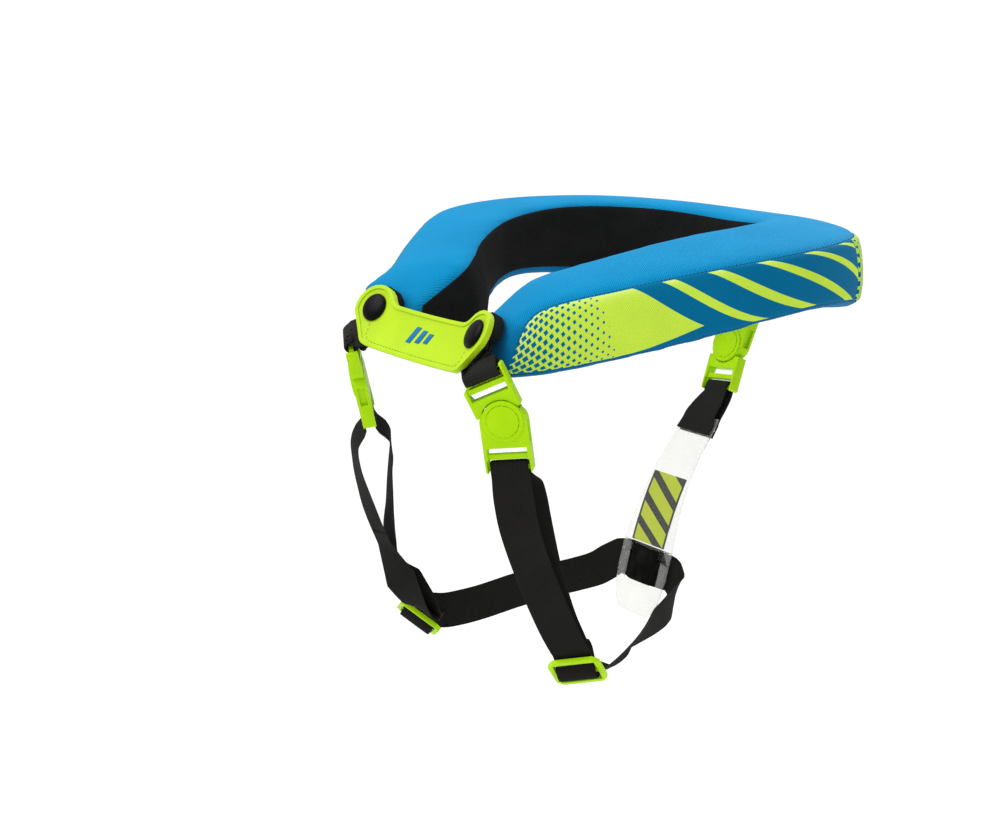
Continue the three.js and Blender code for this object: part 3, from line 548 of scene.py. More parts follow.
@dataclass(frozen=True)
class Canvas(Finish):
    """Woven canvas printed in lime on blue, with a painted highlight on the ink and painted shade. Lengths of the
    print are in millimetres.
    """

    specular: float = 0.05
    depth: float = 0.08 * MM
    patches: float = 30.0
    specks: float = 1200.0
    pitch: float = 1.15 * MM
    ink: Colour = paint(194, 226, 66)
    # pale: the ink lightened by a painted highlight towards the panel's front end and top edge.
    pale: Colour = (0.78, 0.86, 0.42, 1.0)
    # Painted shade colour for the thread gaps and the border; random patches also darken towards it.
    shadow: Colour = (0.0, 0.03, 0.05, 1.0)
    gap_share: float = 0.38
    inked_gap_share: float = 0.22
    patch_share: float = 0.08
    # The border takes a painted shadow along the panel's edges, where it meets the seam.
    border: Pair = (0.9 * MM, 0.3 * MM)
    border_share: float = 0.85
    # Where the painted highlight lies: towards the front end, and along the top edge.
    pale_front: Tuple[float, float, float, float] = (26.0, 2.0, 0.0, 0.5)
    pale_lean: float = 0.6
    pale_top: Tuple[float, float, float, float] = (9.0, 0.5, 0.0, 0.3)
    design: Print = Print.ARROW
    lattice: Tuple[Pair, Pair] = ((2.7, 1.95), (-2.9, 1.75))
    dot_turn: float = math.radians(60)
    dot_edge: float = 0.12
    check_half: float = 1.0
    dot_half: float = 1.22
    dot_shrink: float = -0.0165
    dot_lean: float = -8.0
    dots_end: Spot = (42.0, 11.0, 0.0)
    dots_fade: float = 1.4
    field_top: Spot = (57.5, 33.0, 21.0)
    field_foot: Spot = (229.2, -190.0, 0.0)
    field_edge: float = 0.3
    stripe_start: Spot = (72.0, 30.0, 27.0)
    stripe_pitch: Spot = (21.0, -2.5, 5.0)
    stripe_widen: Spot = (1.5, 6.9, -1.0)
    stripe_share: Spot = (0.30, -0.014, 0.02)
    stripe_edge: float = 0.012

    def dots(self, g: Graph, run: Socket, drop: Socket, size: Fed) -> Socket:
        """Square dots on a turned lattice.

        Args:
            g: The material's graph.
            run: Millimetres along the panel.
            drop: Millimetres down it.
            size: Half a dot's side, in millimetres.

        Returns:
            A mask, 1 on a dot.
        """
        (ax, ay), (bx, by) = self.lattice
        area = ax * by - bx * ay
        first = g.line(run, by / area, g.sums("MULTIPLY", drop, -bx / area))
        second = g.line(run, -ay / area, g.sums("MULTIPLY", drop, ax / area))
        first, second = (g.sums("SUBTRACT", g.sums("FRACT", cell), 0.5) for cell in (first, second))
        c, s = math.cos(self.dot_turn), math.sin(self.dot_turn)
        far = []
        for x, y in ((c, s), (-s, c)):
            across = g.line(first, ax * x + ay * y, g.sums("MULTIPLY", second, bx * x + by * y))
            far.append(g.sums("ABSOLUTE", across))
        reach = g.sums("SUBTRACT", size, g.sums("MAXIMUM", far[0], far[1]))
        return g.ramp(reach, 0.0, self.dot_edge)

    def stripes(self, g: Graph, run: Socket, share: Socket) -> Socket:
        """Slanting stripes that grow wider apart towards the rear.

        Args:
            g: The material's graph.
            run: Millimetres along the panel from its front.
            share: The share of its height, from the top.

        Returns:
            A mask, 1 on a stripe.
        """
        # A stripe's number n solves widen * n * n + pitch * n = start, so it is the root of a square.
        widen, pitch = g.curve(share, *self.stripe_widen), g.curve(share, *self.stripe_pitch)
        start = g.sums("SUBTRACT", run, g.curve(share, *self.stripe_start))
        square = g.line(pitch, pitch, g.sums("MULTIPLY", g.sums("MULTIPLY", start, 4.0), widen))
        root = g.sums("SQRT", g.sums("MAXIMUM", square, 0.0))
        number = g.sums("DIVIDE", g.sums("SUBTRACT", root, pitch), g.sums("MULTIPLY", widen, 2.0))
        first, by_number, by_share = self.stripe_share
        wide = g.line(share, by_share, g.line(number, by_number, first))
        stripe = g.ramp(g.sums("SUBTRACT", wide, g.sums("FRACT", number)), 0.0, self.stripe_edge)
        return g.sums("MULTIPLY", stripe, g.sums("GREATER_THAN", number, 0.0))

    def arrow(self, g: Graph, run: Socket, drop: Socket) -> Socket:
        """The lime field with fading dots, its point, and the slanting stripes behind it.

        Args:
            g: The material's graph.
            run: Millimetres along the panel from its front.
            drop: Millimetres down it.

        Returns:
            A mask, 1 where the lime is printed.
        """
        share = g.sums("DIVIDE", drop, float(PANEL_HEIGHT))
        upper = g.sums("SUBTRACT", g.curve(share, *self.field_top), run)
        lower = g.sums("SUBTRACT", g.curve(share, *self.field_foot), run)
        lime = g.ramp(g.sums("MINIMUM", upper, lower), 0.0, self.field_edge)
        fade = g.sums("SUBTRACT", g.curve(share, *self.dots_end), run)
        size = g.line(g.line(share, self.dot_lean, run), self.dot_shrink, self.dot_half)
        size = g.sums("MULTIPLY", size, g.ramp(fade, 0.0, self.dots_fade))
        lime = g.sums("SUBTRACT", lime, self.dots(g, run, drop, size))
        return g.sums("MAXIMUM", lime, self.stripes(g, run, share))

    def look(self, g: Graph, effects: Effects) -> Look:
        """The print on its weave, with painted shade along the border and between threads and a painted highlight on
        the ink.
        """
        u, v, edge = g.parts(self.band(g))
        run, drop = (g.sums("MULTIPLY", x, 1 / MM) for x in (u, v))
        ink: Fed = self.ink
        if self.design is Print.ARROW:
            inked = self.arrow(g, run, drop)
            # Painted highlight: the ink turns pale towards the front end and the top edge.
            front = g.ramp(g.line(drop, self.pale_lean, run), *self.pale_front)
            ink = g.blend(g.sums("MAXIMUM", front, g.ramp(drop, *self.pale_top)), self.ink, self.pale)
        else:
            inked = g.sums("SUBTRACT", 1.0, self.dots(g, run, drop, self.check_half))
        cloth = g.use(effects.weave, U=u, V=v, Pitch=self.pitch, Slant=1.0)
        spots = self.spots(g, effects)
        # Painted shade in the gaps between threads, less on the ink; patches add random darker tone.
        gap = g.sums("MULTIPLY", cloth["Gap"], g.line(inked, self.inked_gap_share - self.gap_share, self.gap_share))
        dark = g.line(spots["Patch"], self.patch_share, gap)
        # Painted shadow along the panel's border.
        dark = g.sums("MAXIMUM", dark, g.ramp(edge, *self.border, 0.0, self.border_share))
        shade = g.blend(dark, g.blend(inked, self.colour, ink), self.shadow)
        return shade, self.rough(g, spots["Speck"]), cloth["Height"]


@dataclass(frozen=True)
class Band(Finish):
    """A narrow woven band, ribbed across or along."""

    spread: float = 0.15
    specular: float = 0.1
    depth: float = 0.18 * MM
    patches: float = 45.0
    specks: float = 1400.0
    pitch: float = 1.2 * MM
    across: bool = True
    worn: Colour = (0.026, 0.025, 0.022, 1.0)
    rib_share: float = 0.4
    speck_share: float = 0.22

    def look(self, g: Graph, effects: Effects) -> Look:
        """Ribs that are worn on top."""
        u, v, _ = g.parts(self.band(g))
        run, cross = (v, u) if self.across else (u, v)
        cloth = g.use(effects.ribs, Run=run, Cross=cross, Pitch=self.pitch)
        spots = self.spots(g, effects)
        shade = g.tint(cloth["Height"], self.rib_share, self.colour, self.worn)
        shade = g.tint(spots["Speck"], self.speck_share, shade, self.worn)
        return shade, self.rough(g, spots["Patch"]), cloth["Height"]


@dataclass(frozen=True)
class Moulded(Finish):
    """Moulded plastic or rubber with a fine grain, and edges lightened as wear and painted highlight."""

    # The lighter edge colour: partly wear, partly a painted highlight on the rounded edges.
    rubbed: Colour = field(kw_only=True)
    specular: float = 0.2
    depth: float = 0.03 * MM
    patches: float = 70.0
    specks: float = 1600.0
    deep: float = 0.72
    patch_share: float = 0.22
    rubbed_share: float = 0.45
    rubbed_shine: float = -0.1

    def look(self, g: Graph, effects: Effects) -> Look:
        """A grain with patches, and edges lightened as wear and painted highlight."""
        edge = g.add("ShaderNodeAttribute", attribute_name="edge").outputs["Fac"]
        worn = g.use(effects.wear, Vector=self.place(g), Edge=edge)["Rubbed"]
        spots = self.spots(g, effects)
        shade = g.tint(spots["Patch"], self.patch_share, self.colour, darker(self.colour, self.deep))
        # Wear and painted highlight: the rounded edges lighten towards the edge colour.
        shade = g.tint(worn, self.rubbed_share, shade, self.rubbed)
        return shade, g.line(worn, self.rubbed_shine, self.rough(g, spots["Speck"])), spots["Speck"]


@dataclass(frozen=True)
class ClearSheet(Finish):
    """Clear soft sheet with faint haze."""

    spread: float = 0.12
    depth: float = 0.05 * MM
    specks: float = 500.0
    haze: Colour = (0.9, 0.9, 0.87, 1.0)
    extras: Extras = (("Transmission Weight", 0.86), ("IOR", 1.1))

    def look(self, g: Graph, effects: Effects) -> Look:
        """A clear sheet with hazy patches."""
        spots = self.spots(g, effects)
        shade = g.blend(spots["Patch"], self.colour, self.haze)
        return shade, self.rough(g, spots["Speck"]), spots["Patch"]


@dataclass(frozen=True)
class Ink(Finish):
    """Printed ink on the clear sheet: a lime field crossed by dark slanting bars."""

    spread: float = 0.2
    patches: float = 90.0
    bars: Colour = (0.012, 0.013, 0.012, 1.0)
    lean: float = 0.55
    pitch: float = 12.5 * MM
    bar_end: Pair = (0.36, 0.38)
    rim: Pair = (12.0 * MM, 12.2 * MM)
    dust: Colour = (0.8, 0.8, 0.7, 1.0)
    dust_share: float = 0.12

    def look(self, g: Graph, effects: Effects) -> Look:
        """Bars and a rim on the field, with dust."""
        u, v, _ = g.parts(self.band(g))
        wave = g.sums("FRACT", g.sums("DIVIDE", g.line(u, self.lean, v), self.pitch))
        bar = g.sums("SUBTRACT", 1.0, g.ramp(wave, *self.bar_end))
        frame = g.ramp(g.sums("ABSOLUTE", u), *self.rim)
        spots = self.spots(g, effects)
        shade = g.blend(g.sums("MAXIMUM", bar, frame), self.colour, self.bars)
        shade = g.tint(spots["Speck"], self.dust_share, shade, self.dust)
        return shade, self.rough(g, spots["Patch"]), None


@dataclass(frozen=True)
class Thread(Finish):
    """Sewing thread."""

    depth: float = 0.06 * MM
    twist: float = 2600.0
    deep: float = 0.6

    def look(self, g: Graph, effects: Effects) -> Look:
        """Twisted fibres."""
        twist = g.noise(self.place(g), self.twist, 2.0)
        return g.blend(twist, self.colour, darker(self.colour, self.deep)), self.roughness, twist


@dataclass(frozen=True)
class Paper(Finish):
    """The pale stage."""

    specular: float = 0.1
    patches: float = 2.0
    specks: float = 60.0
    grey: Colour = (0.86, 0.86, 0.86, 1.0)
    patch_share: float = 0.1

    def look(self, g: Graph, effects: Effects) -> Look:
        """Pale paper with faint patches."""
        patch = self.spots(g, effects)["Patch"]
        return g.tint(patch, self.patch_share, self.colour, self.grey), self.roughness, None


class Finishes:
    """All finishes of the collar, made once."""

    def __init__(self) -> None:
        """Makes the materials."""
        effects = Effects()
        navy = paint(0, 103, 146)
        self.jersey = Jersey("jersey_blue", paint(3, 138, 189), 0.85).material(effects)
        self.fleece = Fleece("fleece_black", paint(14, 15, 15), 0.95).material(effects)
        self.arrow = Canvas("canvas_arrow", navy).material(effects)
        self.checks = Canvas("canvas_checks", navy, design=Print.CHECKS).material(effects)
        # The lighter edge colours of the mouldings stand for wear and a painted highlight.
        self.rubber = Moulded("rubber_lime", paint(172, 207, 14), 0.55, rubbed=paint(196, 226, 60)).material(effects)
        self.motif = Moulded("rubber_motif", paint(4, 104, 160), 0.5, rubbed=paint(30, 120, 175)).material(effects)
        self.snap = Moulded(
            "snap_black", paint(6, 7, 6), 0.34, specular=0.07, rubbed=(0.008, 0.008, 0.008, 1.0), depth=0.002 * MM
        ).material(effects)
        self.plastic = Moulded(
            "plastic_lime", paint(168, 218, 0), 0.42, specular=0.1, rubbed=paint(186, 224, 50)
        ).material(effects)
        self.webbing = Band("webbing_ribbed", paint(24, 24, 21), 0.825).material(effects)
        self.elastic = Band(
            "elastic_soft", paint(13, 13, 11), 0.895, depth=0.08 * MM, pitch=1.0 * MM, across=False
        ).material(effects)
        self.clear = ClearSheet("sheet_clear", (0.94, 0.935, 0.9, 1.0), 0.22).material(effects)
        self.ink = Ink("tab_ink", paint(184, 198, 6), 0.6).material(effects)
        self.thread_blue = Thread("thread_blue", paint(0, 66, 98), 0.9).material(effects)
        self.thread_lime = Thread("thread_lime", paint(146, 186, 20), 0.8).material(effects)
        self.paper = Paper("stage_paper", (0.96, 0.96, 0.96, 1.0), 0.9).material(effects)


class Workbench:
    """Turns finished meshes into pieces on the frame."""

    def __init__(self, frame: Dict[str, object], finishes: Finishes) -> None:
        """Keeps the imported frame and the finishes."""
        self.nodes: Dict[str, Piece] = frame["nodes"]
        self.finishes = finishes

    def place(self, name: str, bm: Mesh, materials: Sequence[Material], slot: str, node: Optional[str] = None,
              corner: float = 40.0) -> Piece:
        """Makes a piece that rides on the collar.

        Args:
            name: The piece's name.
            bm: Its mesh, which is freed.
            materials: Its materials.
            slot: The record's slot that its finish belongs to; not used.
            node: The CAD node that it stands for.
            corner: The angle past which an edge stays sharp, in degrees.

        Returns:
            The new object.
        """
        for edge in bm.edges:
            edge.smooth = len(edge.link_faces) == 2 and edge.calc_face_angle(0.0) < math.radians(corner)
        for face in bm.faces:
            face.smooth = True
        return self.mount(linked(name, bm), materials, slot, node)

    @staticmethod
    def mount(piece: Piece, materials: Sequence[Material], slot: str, node: Optional[str]) -> Piece:
        """Dresses an object and sets it on the frame.

        Args:
            piece: The object.
            materials: Its materials.
            slot: The record's slot that its finish belongs to; not used.
            node: The CAD node that it stands for.

        Returns:
            The same object.
        """
        for material in materials:
            piece.data.materials.append(material)
        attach(piece, "root")
        if node:
            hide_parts(node)
        LOG.info("%s: %d faces", piece.name, len(piece.data.polygons))
        return piece

    def copy(self, node: str) -> Mesh:
        """A CAD node's mesh with its loose triangles merged."""
        bm = bmesh.new()
        bm.from_mesh(self.nodes[node].data)
        bmesh.ops.remove_doubles(bm, verts=bm.verts, dist=2e-6)
        return bm

    def tree(self, node: str) -> BVHTree:
        """A search tree over a CAD node's surface."""
        bm = self.copy(node)
        found = BVHTree.FromBMesh(bm)
        bm.free()
        return found

    def softened(self, node: str, width: float, segments: int = 3, corner: float = 32.0,
                 reshape: Optional[Callable[[Mesh], None]] = None) -> Mesh:
        """A copy of a moulded node with its edges rounded and marked.

        Args:
            node: The CAD node.
            width: The width of the rounding, in metres.
            segments: Its steps.
            corner: The angle past which an edge is rounded, in degrees.
            reshape: Changes the mesh before its edges are rounded.

        Returns:
            The rounded mesh, whose face attribute edge is 1 on the roundings.
        """
        bm = self.copy(node)
        bmesh.ops.dissolve_degenerate(bm, dist=0.02 * MM, edges=bm.edges)
        bmesh.ops.dissolve_limit(bm, angle_limit=math.radians(0.6), verts=bm.verts, edges=bm.edges)
        if reshape:
            reshape(bm)
        edge_layer = bm.faces.layers.float.new("edge")
        limit = math.radians(corner)
        sharp = [e for e in bm.edges if len(e.link_faces) == 2 and e.calc_face_angle(0.0) > limit]
        for face in bevel(bm, sharp, width, segments)["faces"]:
            face[edge_layer] = 1.0
        return bm


@dataclass
class PadShape:
    """The seam lines of the padded ring, given in millimetres, and the walls between them."""

    outer_top: Sequence[Spot] = (
        (0, 128, 24), (61, 111, 26), (105, 69, 30), (124, 16, 30),
        (116.5, -35, 25.5), (93.5, -72, 17), (70.5, -96, 8.5), (61, -109.2, 1),
    )
    outer_low: Sequence[Spot] = (
        (0, 130, -21), (61, 113, -17), (106, 71, -5), (126, 18, 0),
        (120, -35, -7), (95.5, -72, -17.5), (73, -97, -25), (59.5, -117.3, -27),
    )
    inner_low: Sequence[Spot] = (
        (0, 74.5, -12), (41, 56.7, -11), (61, 15.8, -5), (58, -25, -3),
        (42, -51, -10), (28, -64, -21), (22, -75, -28), (26, -115, -29),
    )
    inner_top: Sequence[Spot] = (
        (0, 82, 28), (44, 64, 31.5), (66, 21, 33.6), (63, -21, 30.5),
        (49, -50, 23), (36, -65, 17), (28, -77, 12), (28, -105, -4.5),
    )
    left_push: Sequence[Spot] = ((-8, -4.5, 0.5), (-1.8, -1, 0), (0, 0, 0), (0, 0, 3.5), (0, 0, 1.6))
    fullness: Sequence[Pair] = ((6, 7), (4, 3), (5, 5), (12, 5.5))
    front: float = 7.0
    probe: Pair = (0.02, 0.015)
    seams: List[List[Vector]] = field(default_factory=list)
    walls: Dict[float, List[Tuple[Vector, Vector, Vector, Vector]]] = field(default_factory=dict)

    def __post_init__(self) -> None:
        """Mirrors each seam to the left, where the upper outer one lies a little apart."""
        for row in (self.outer_top, self.outer_low, self.inner_low, self.inner_top):
            right = [mm(*p) for p in row]
            left = [Vector((-p.x, p.y, p.z)) for p in right[:0:-1]]
            self.seams.append(left + right)
        for place, push in zip(self.seams[0], self.left_push):
            place += mm(*push)

    def section(self, s: float) -> List[Tuple[Vector, Vector, Vector, Vector]]:
        """The four wall curves at a place round the ring.

        Args:
            s: The place, from -7 at the left front to 7 at the right front.

        Returns:
            The four points that draw each wall.
        """
        if s not in self.walls:
            t = min(max((s / self.front + 1) / 2, 0.0), 1.0)
            corner = [soft_line(seam, t) for seam in self.seams]
            walls = []
            for k, (first, last) in enumerate(self.fullness):
                a, b, c, d = (corner[(k + n - 1) % 4] for n in range(4))
                leave = ((b - a).normalized() + (c - b).normalized()).normalized() * first * MM
                reach = ((c - b).normalized() + (d - c).normalized()).normalized() * last * MM
                walls.append((b, b + leave, c - reach, c))
            self.walls[s] = walls
        return self.walls[s]

    def point(self, s: float, v: float) -> Vector:
        """A point of the pad's surface.

        Args:
            s: The place round the ring.
            v: The place round the section: outer wall, underside, inner wall, top, one unit each.

        Returns:
            The point, in metres.
        """
        wall = int(v % 4)
        u = v % 4 - wall
        a, b, c, d = self.section(s)[wall]
        w = 1 - u
        return a * w ** 3 + b * (3 * w * w * u) + c * (3 * w * u * u) + d * u ** 3

    def normal(self, s: float, v: float) -> Vector:
        """The way that the surface faces at a point."""
        ds, dv = self.probe
        along = self.point(min(s + ds, self.front), v) - self.point(max(s - ds, -self.front), v)
        return along.cross(self.point(s, v + dv) - self.point(s, v - dv)).normalized()

    def lengths(self, v: float, steps: int = 280) -> Callable[[float], float]:
        """Measures the ring along one line of its surface.

        Args:
            v: The line's place round the section.
            steps: How finely it is measured.

        Returns:
            A function from a place round the ring to metres from the nearer front end.
        """
        run = [0.0]
        for k in range(steps):
            here, there = (self.front * (1 - n / steps) for n in (k, k + 1))
            run.append(run[-1] + (self.point(there, v) - self.point(here, v)).length)

        def measure(s: float) -> float:
            """Metres from the front end."""
            place = (1 - abs(s) / self.front) * steps
            k = min(int(place), steps - 1)
            return run[k] + (run[k + 1] - run[k]) * (place - k)

        return measure


@dataclass
class PaddedRing:
    """The foam ring in its jersey cover."""

    bench: Workbench
    shape: PadShape
    rings: int = 120
    points: int = 56
    slack: float = 0.9 * MM
    voxel: float = 4.2 * MM
    swell: float = 1.8 * MM
    nose: Sequence[Pair] = ((0.9, 0.96), (1.5, 0.88), (1.9, 0.7))
    pinned: float = 6 * MM
    pin_steps: int = 240
    pressure: float = 4.0
    stiffness: float = 2.0
    quality: int = 6
    frames: int = 20
    valley_depth: float = 0.5
    valley_width: float = 1.7 * MM
    valley_reach: float = 6 * MM
    valley_steps: int = 420
    smoothing: int = 2

    def ring_points(self, s: float) -> List[Vector]:
        """One section's outline, a little slimmer than the finished pad."""
        outline = [self.shape.point(s, 4 * k / self.points) for k in range(self.points)]
        middle = sum(outline, Vector()) / self.points
        return [p - (p - middle).normalized() * self.slack for p in outline]

    def loft(self) -> Mesh:
        """Extrudes the section round the ring and rounds both front ends.

        Returns:
            The closed mesh.
        """
        places = [self.shape.front * (2 * k / self.rings - 1) for k in range(self.rings + 1)]
        outlines = [self.ring_points(s) for s in places]
        for end, beside in ((0, 3), (-1, -4)):
            outline = outlines[end]
            middle, other = (sum(row, Vector()) / self.points for row in (outline, outlines[beside]))
            ahead = (middle - other).normalized()
            caps = [
                [middle + (p - middle) * scale + ahead * forward * MM for p in outline]
                for forward, scale in self.nose
            ]
            outlines = caps[::-1] + outlines if end == 0 else outlines + caps
        bm = bmesh.new()
        ring = [bm.verts.new(p) for p in outlines[0]]
        for outline in outlines[1:]:
            ring = extrude_chain(bm, ring, True)
            for vert, p in zip(ring, outline):
                vert.co = p
        close_ends(bm)
        return bm

    @staticmethod
    def applied(piece: Piece) -> None:
        """Bakes an object's modifiers into its mesh."""
        depsgraph = bpy.context.evaluated_depsgraph_get()
        mesh = bpy.data.meshes.new_from_object(piece.evaluated_get(depsgraph))
        piece.modifiers.clear()
        piece.data = mesh

    def swollen(self, piece: Piece) -> None:
        """Lets the filling press the cover out, then limits how far it went.

        Args:
            piece: The pad, whose mesh takes the result.
        """
        pins = piece.vertex_groups.new(name="seams")
        seam_points = [p for seam in self.shape.seams for p in soft_points(seam, self.pin_steps)]
        for vert in piece.data.vertices:
            near = min((vert.co - p).length for p in seam_points)
            pins.add([vert.index], max(0.0, 1 - near / self.pinned), "REPLACE")
        settings = piece.modifiers.new("swell", "CLOTH").settings
        settings.vertex_group_mass = pins.name
        settings.effector_weights.gravity = 0
        settings.use_pressure = True
        settings.uniform_pressure_force = self.pressure
        settings.quality = self.quality
        settings.bending_stiffness = self.stiffness
        scene = bpy.context.scene
        rest = [v.co.copy() for v in piece.data.vertices]
        for number in range(1, self.frames + 1):
            scene.frame_set(number)
        self.applied(piece)
        scene.frame_set(1)
        for vert, start in zip(piece.data.vertices, rest):
            move = vert.co - start
            vert.co = start + move.normalized() * min(move.length, self.swell)

    def seam_valleys(self, bm: Mesh) -> None:
        """Draws the cover in along the seam above the outer panels."""
        seam = soft_points(self.shape.seams[0], self.valley_steps)
        bm.normal_update()
        for vert in bm.verts:
            near = min((vert.co - p).length_squared for p in seam)
            if near < self.valley_reach ** 2:
                share = math.exp(-near / (2 * self.valley_width ** 2))
                vert.co -= vert.normal * self.valley_depth * MM * share

    def build(self) -> Piece:
        """Makes the pad.

        Returns:
            The finished piece.
        """
        bm = self.loft()
        smooth = BVHTree.FromBMesh(bm)
        piece = linked("padded_ring", bm)
        remesh = piece.modifiers.new("even", "REMESH")
        remesh.mode = "VOXEL"
        remesh.voxel_size = self.voxel
        self.applied(piece)
        for vert in piece.data.vertices:
            vert.co = smooth.find_nearest(vert.co)[0]
        self.swollen(piece)
        fine = piece.modifiers.new("fine", "SUBSURF")
        fine.levels = fine.render_levels = 1
        self.applied(piece)
        piece.vertex_groups.clear()
        bm = bmesh.new()
        bm.from_mesh(piece.data)
        for _ in range(self.smoothing):
            bmesh.ops.smooth_vert(bm, verts=bm.verts, factor=0.5, use_axis_x=True, use_axis_y=True, use_axis_z=True)
        self.seam_valleys(bm)
        bm.normal_update()
        # How far each point faces up; the jersey uses it to paint shade on the pad's sides.
        upward = bm.verts.layers.float.new("upward")
        for vert in bm.verts:
            vert[upward] = max(vert.normal.z, 0.0)
        for face in bm.faces:
            face.smooth = True
        bm.to_mesh(piece.data)
        bm.free()
        self.bench.mount(piece, [self.bench.finishes.jersey], "jersey_blue", "collar_pad")
        return piece


@dataclass
class Covering:
    """A sheet sewn on the pad: a printed outer panel or the inner lining."""

    bench: Workbench
    shape: PadShape
    pad: BVHTree
    name: str
    node: str
    slot: str
    material: Material
    reach: Pair
    drop: Callable[[float], Pair]
    columns: int = 100
    rows: int = 22
    lift: float = 0.35 * MM
    tuck: float = 0.5 * MM
    rise: float = 2.2 * MM
    thick: float = 0.7 * MM
    height: float = PANEL_HEIGHT * MM
    crowding: Pair = (0.55, 0.45)
    seam_share: float = 1.02

    def on_pad(self, s: float, v: float, edge: float) -> Vector:
        """A point of the sheet, resting on the pad.

        Args:
            s: The place round the ring.
            v: The place round the section.
            edge: How far the point is from the sheet's nearest edge, in metres.

        Returns:
            The point, which dips into the pad at the edge.
        """
        out = self.shape.normal(s, v)
        share = min(edge / self.rise, 1.0)
        lift = self.lift * math.sin(share * math.pi / 2) - self.tuck * (1 - share)
        return landed(self.pad, self.shape.point(s, v), out) + out * lift

    def stations(self) -> List[float]:
        """The places of the columns, closer together towards the ends."""
        (low, high), (bent, even) = self.reach, self.crowding
        shares = [0.5 - 0.5 * math.cos(math.pi * k / self.columns) for k in range(self.columns + 1)]
        return [low + (high - low) * (bent * a + even * k / self.columns) for k, a in enumerate(shares)]

    def build(self) -> Piece:
        """Lays the sheet on the pad.

        Returns:
            The finished piece.
        """
        middle = 0.5 * sum(self.reach)
        across = 0.5 * sum(self.drop(middle))
        measure = self.shape.lengths(across)
        ends = [measure(s) for s in self.reach]
        centre = self.reach[0] * self.reach[1] < 0
        total = 2 * measure(0.0) - ends[0] - ends[1] if centre else abs(ends[1] - ends[0])
        bm = bmesh.new()
        layer = bm.verts.layers.float_vector.new("weave")
        verts = [bm.verts.new() for _ in range(self.rows + 1)]
        widest = 0.0
        for number, s in enumerate(self.stations()):
            if number:
                verts = extrude_chain(bm, verts, False)
            top, low = self.drop(s)
            tall = (self.shape.point(s, top) - self.shape.point(s, low)).length
            widest = max(widest, tall)
            from_end = number / self.columns * total
            for k, vert in enumerate(verts):
                v = top + (low - top) * k / self.rows
                down = tall * k / self.rows
                edge = min(down, tall - down, from_end, total - from_end)
                vert.co = self.on_pad(s, v, edge)
                vert[layer] = (measure(s), (v % 1.0) * self.height, edge)
        bmesh.ops.remove_doubles(bm, verts=bm.verts, dist=0.02 * MM)
        bmesh.ops.recalc_face_normals(bm, faces=bm.faces)
        centre_point = self.shape.point(middle, across)
        nearest = min(bm.faces, key=lambda f: (f.calc_center_median() - centre_point).length)
        if nearest.normal.dot(self.shape.normal(middle, across)) < 0:
            bmesh.ops.reverse_faces(bm, faces=bm.faces)
        area = sum(f.calc_area() for f in bm.faces)
        piece = self.bench.place(self.name, bm, [self.material], self.slot, self.node, corner=75.0)
        wall = piece.modifiers.new("cloth", "SOLIDIFY")
        wall.thickness = self.thick
        wall.offset = -1.0
        flat = (widest * self.seam_share, max(total, area / widest) * self.seam_share)
        LOG.info("%s cut: %.0f x %.0f mm", self.name, flat[0] / MM, flat[1] / MM)
        return piece


@dataclass
class Stitches:
    """A row of thread stitches."""

    length: float
    gap: float
    width: float

    def sew(self, bm: Mesh, line: Sequence[Vector], outs: Sequence[Vector], index: int = 0) -> None:
        """Adds stitches along a line.

        Args:
            bm: The mesh that takes them.
            line: The points of the line.
            outs: The way that the cloth faces at each point.
            index: The material index of the stitches.
        """
        run, due = 0.0, self.gap
        size = Matrix.Diagonal((self.width / 2, self.length / 2, self.width / 2, 1))
        for (a, b), out in zip(zip(line, line[1:]), outs):
            span = (b - a).length
            while due < run + span:
                turn = frame_at(a.lerp(b, (due - run) / span), out, b - a) @ size
                made = bmesh.ops.create_uvsphere(bm, u_segments=6, v_segments=5, radius=1.0, matrix=turn)
                for face in {f for v in made["verts"] for f in v.link_faces}:
                    face.material_index = index
                due += self.length + self.gap
            run += span


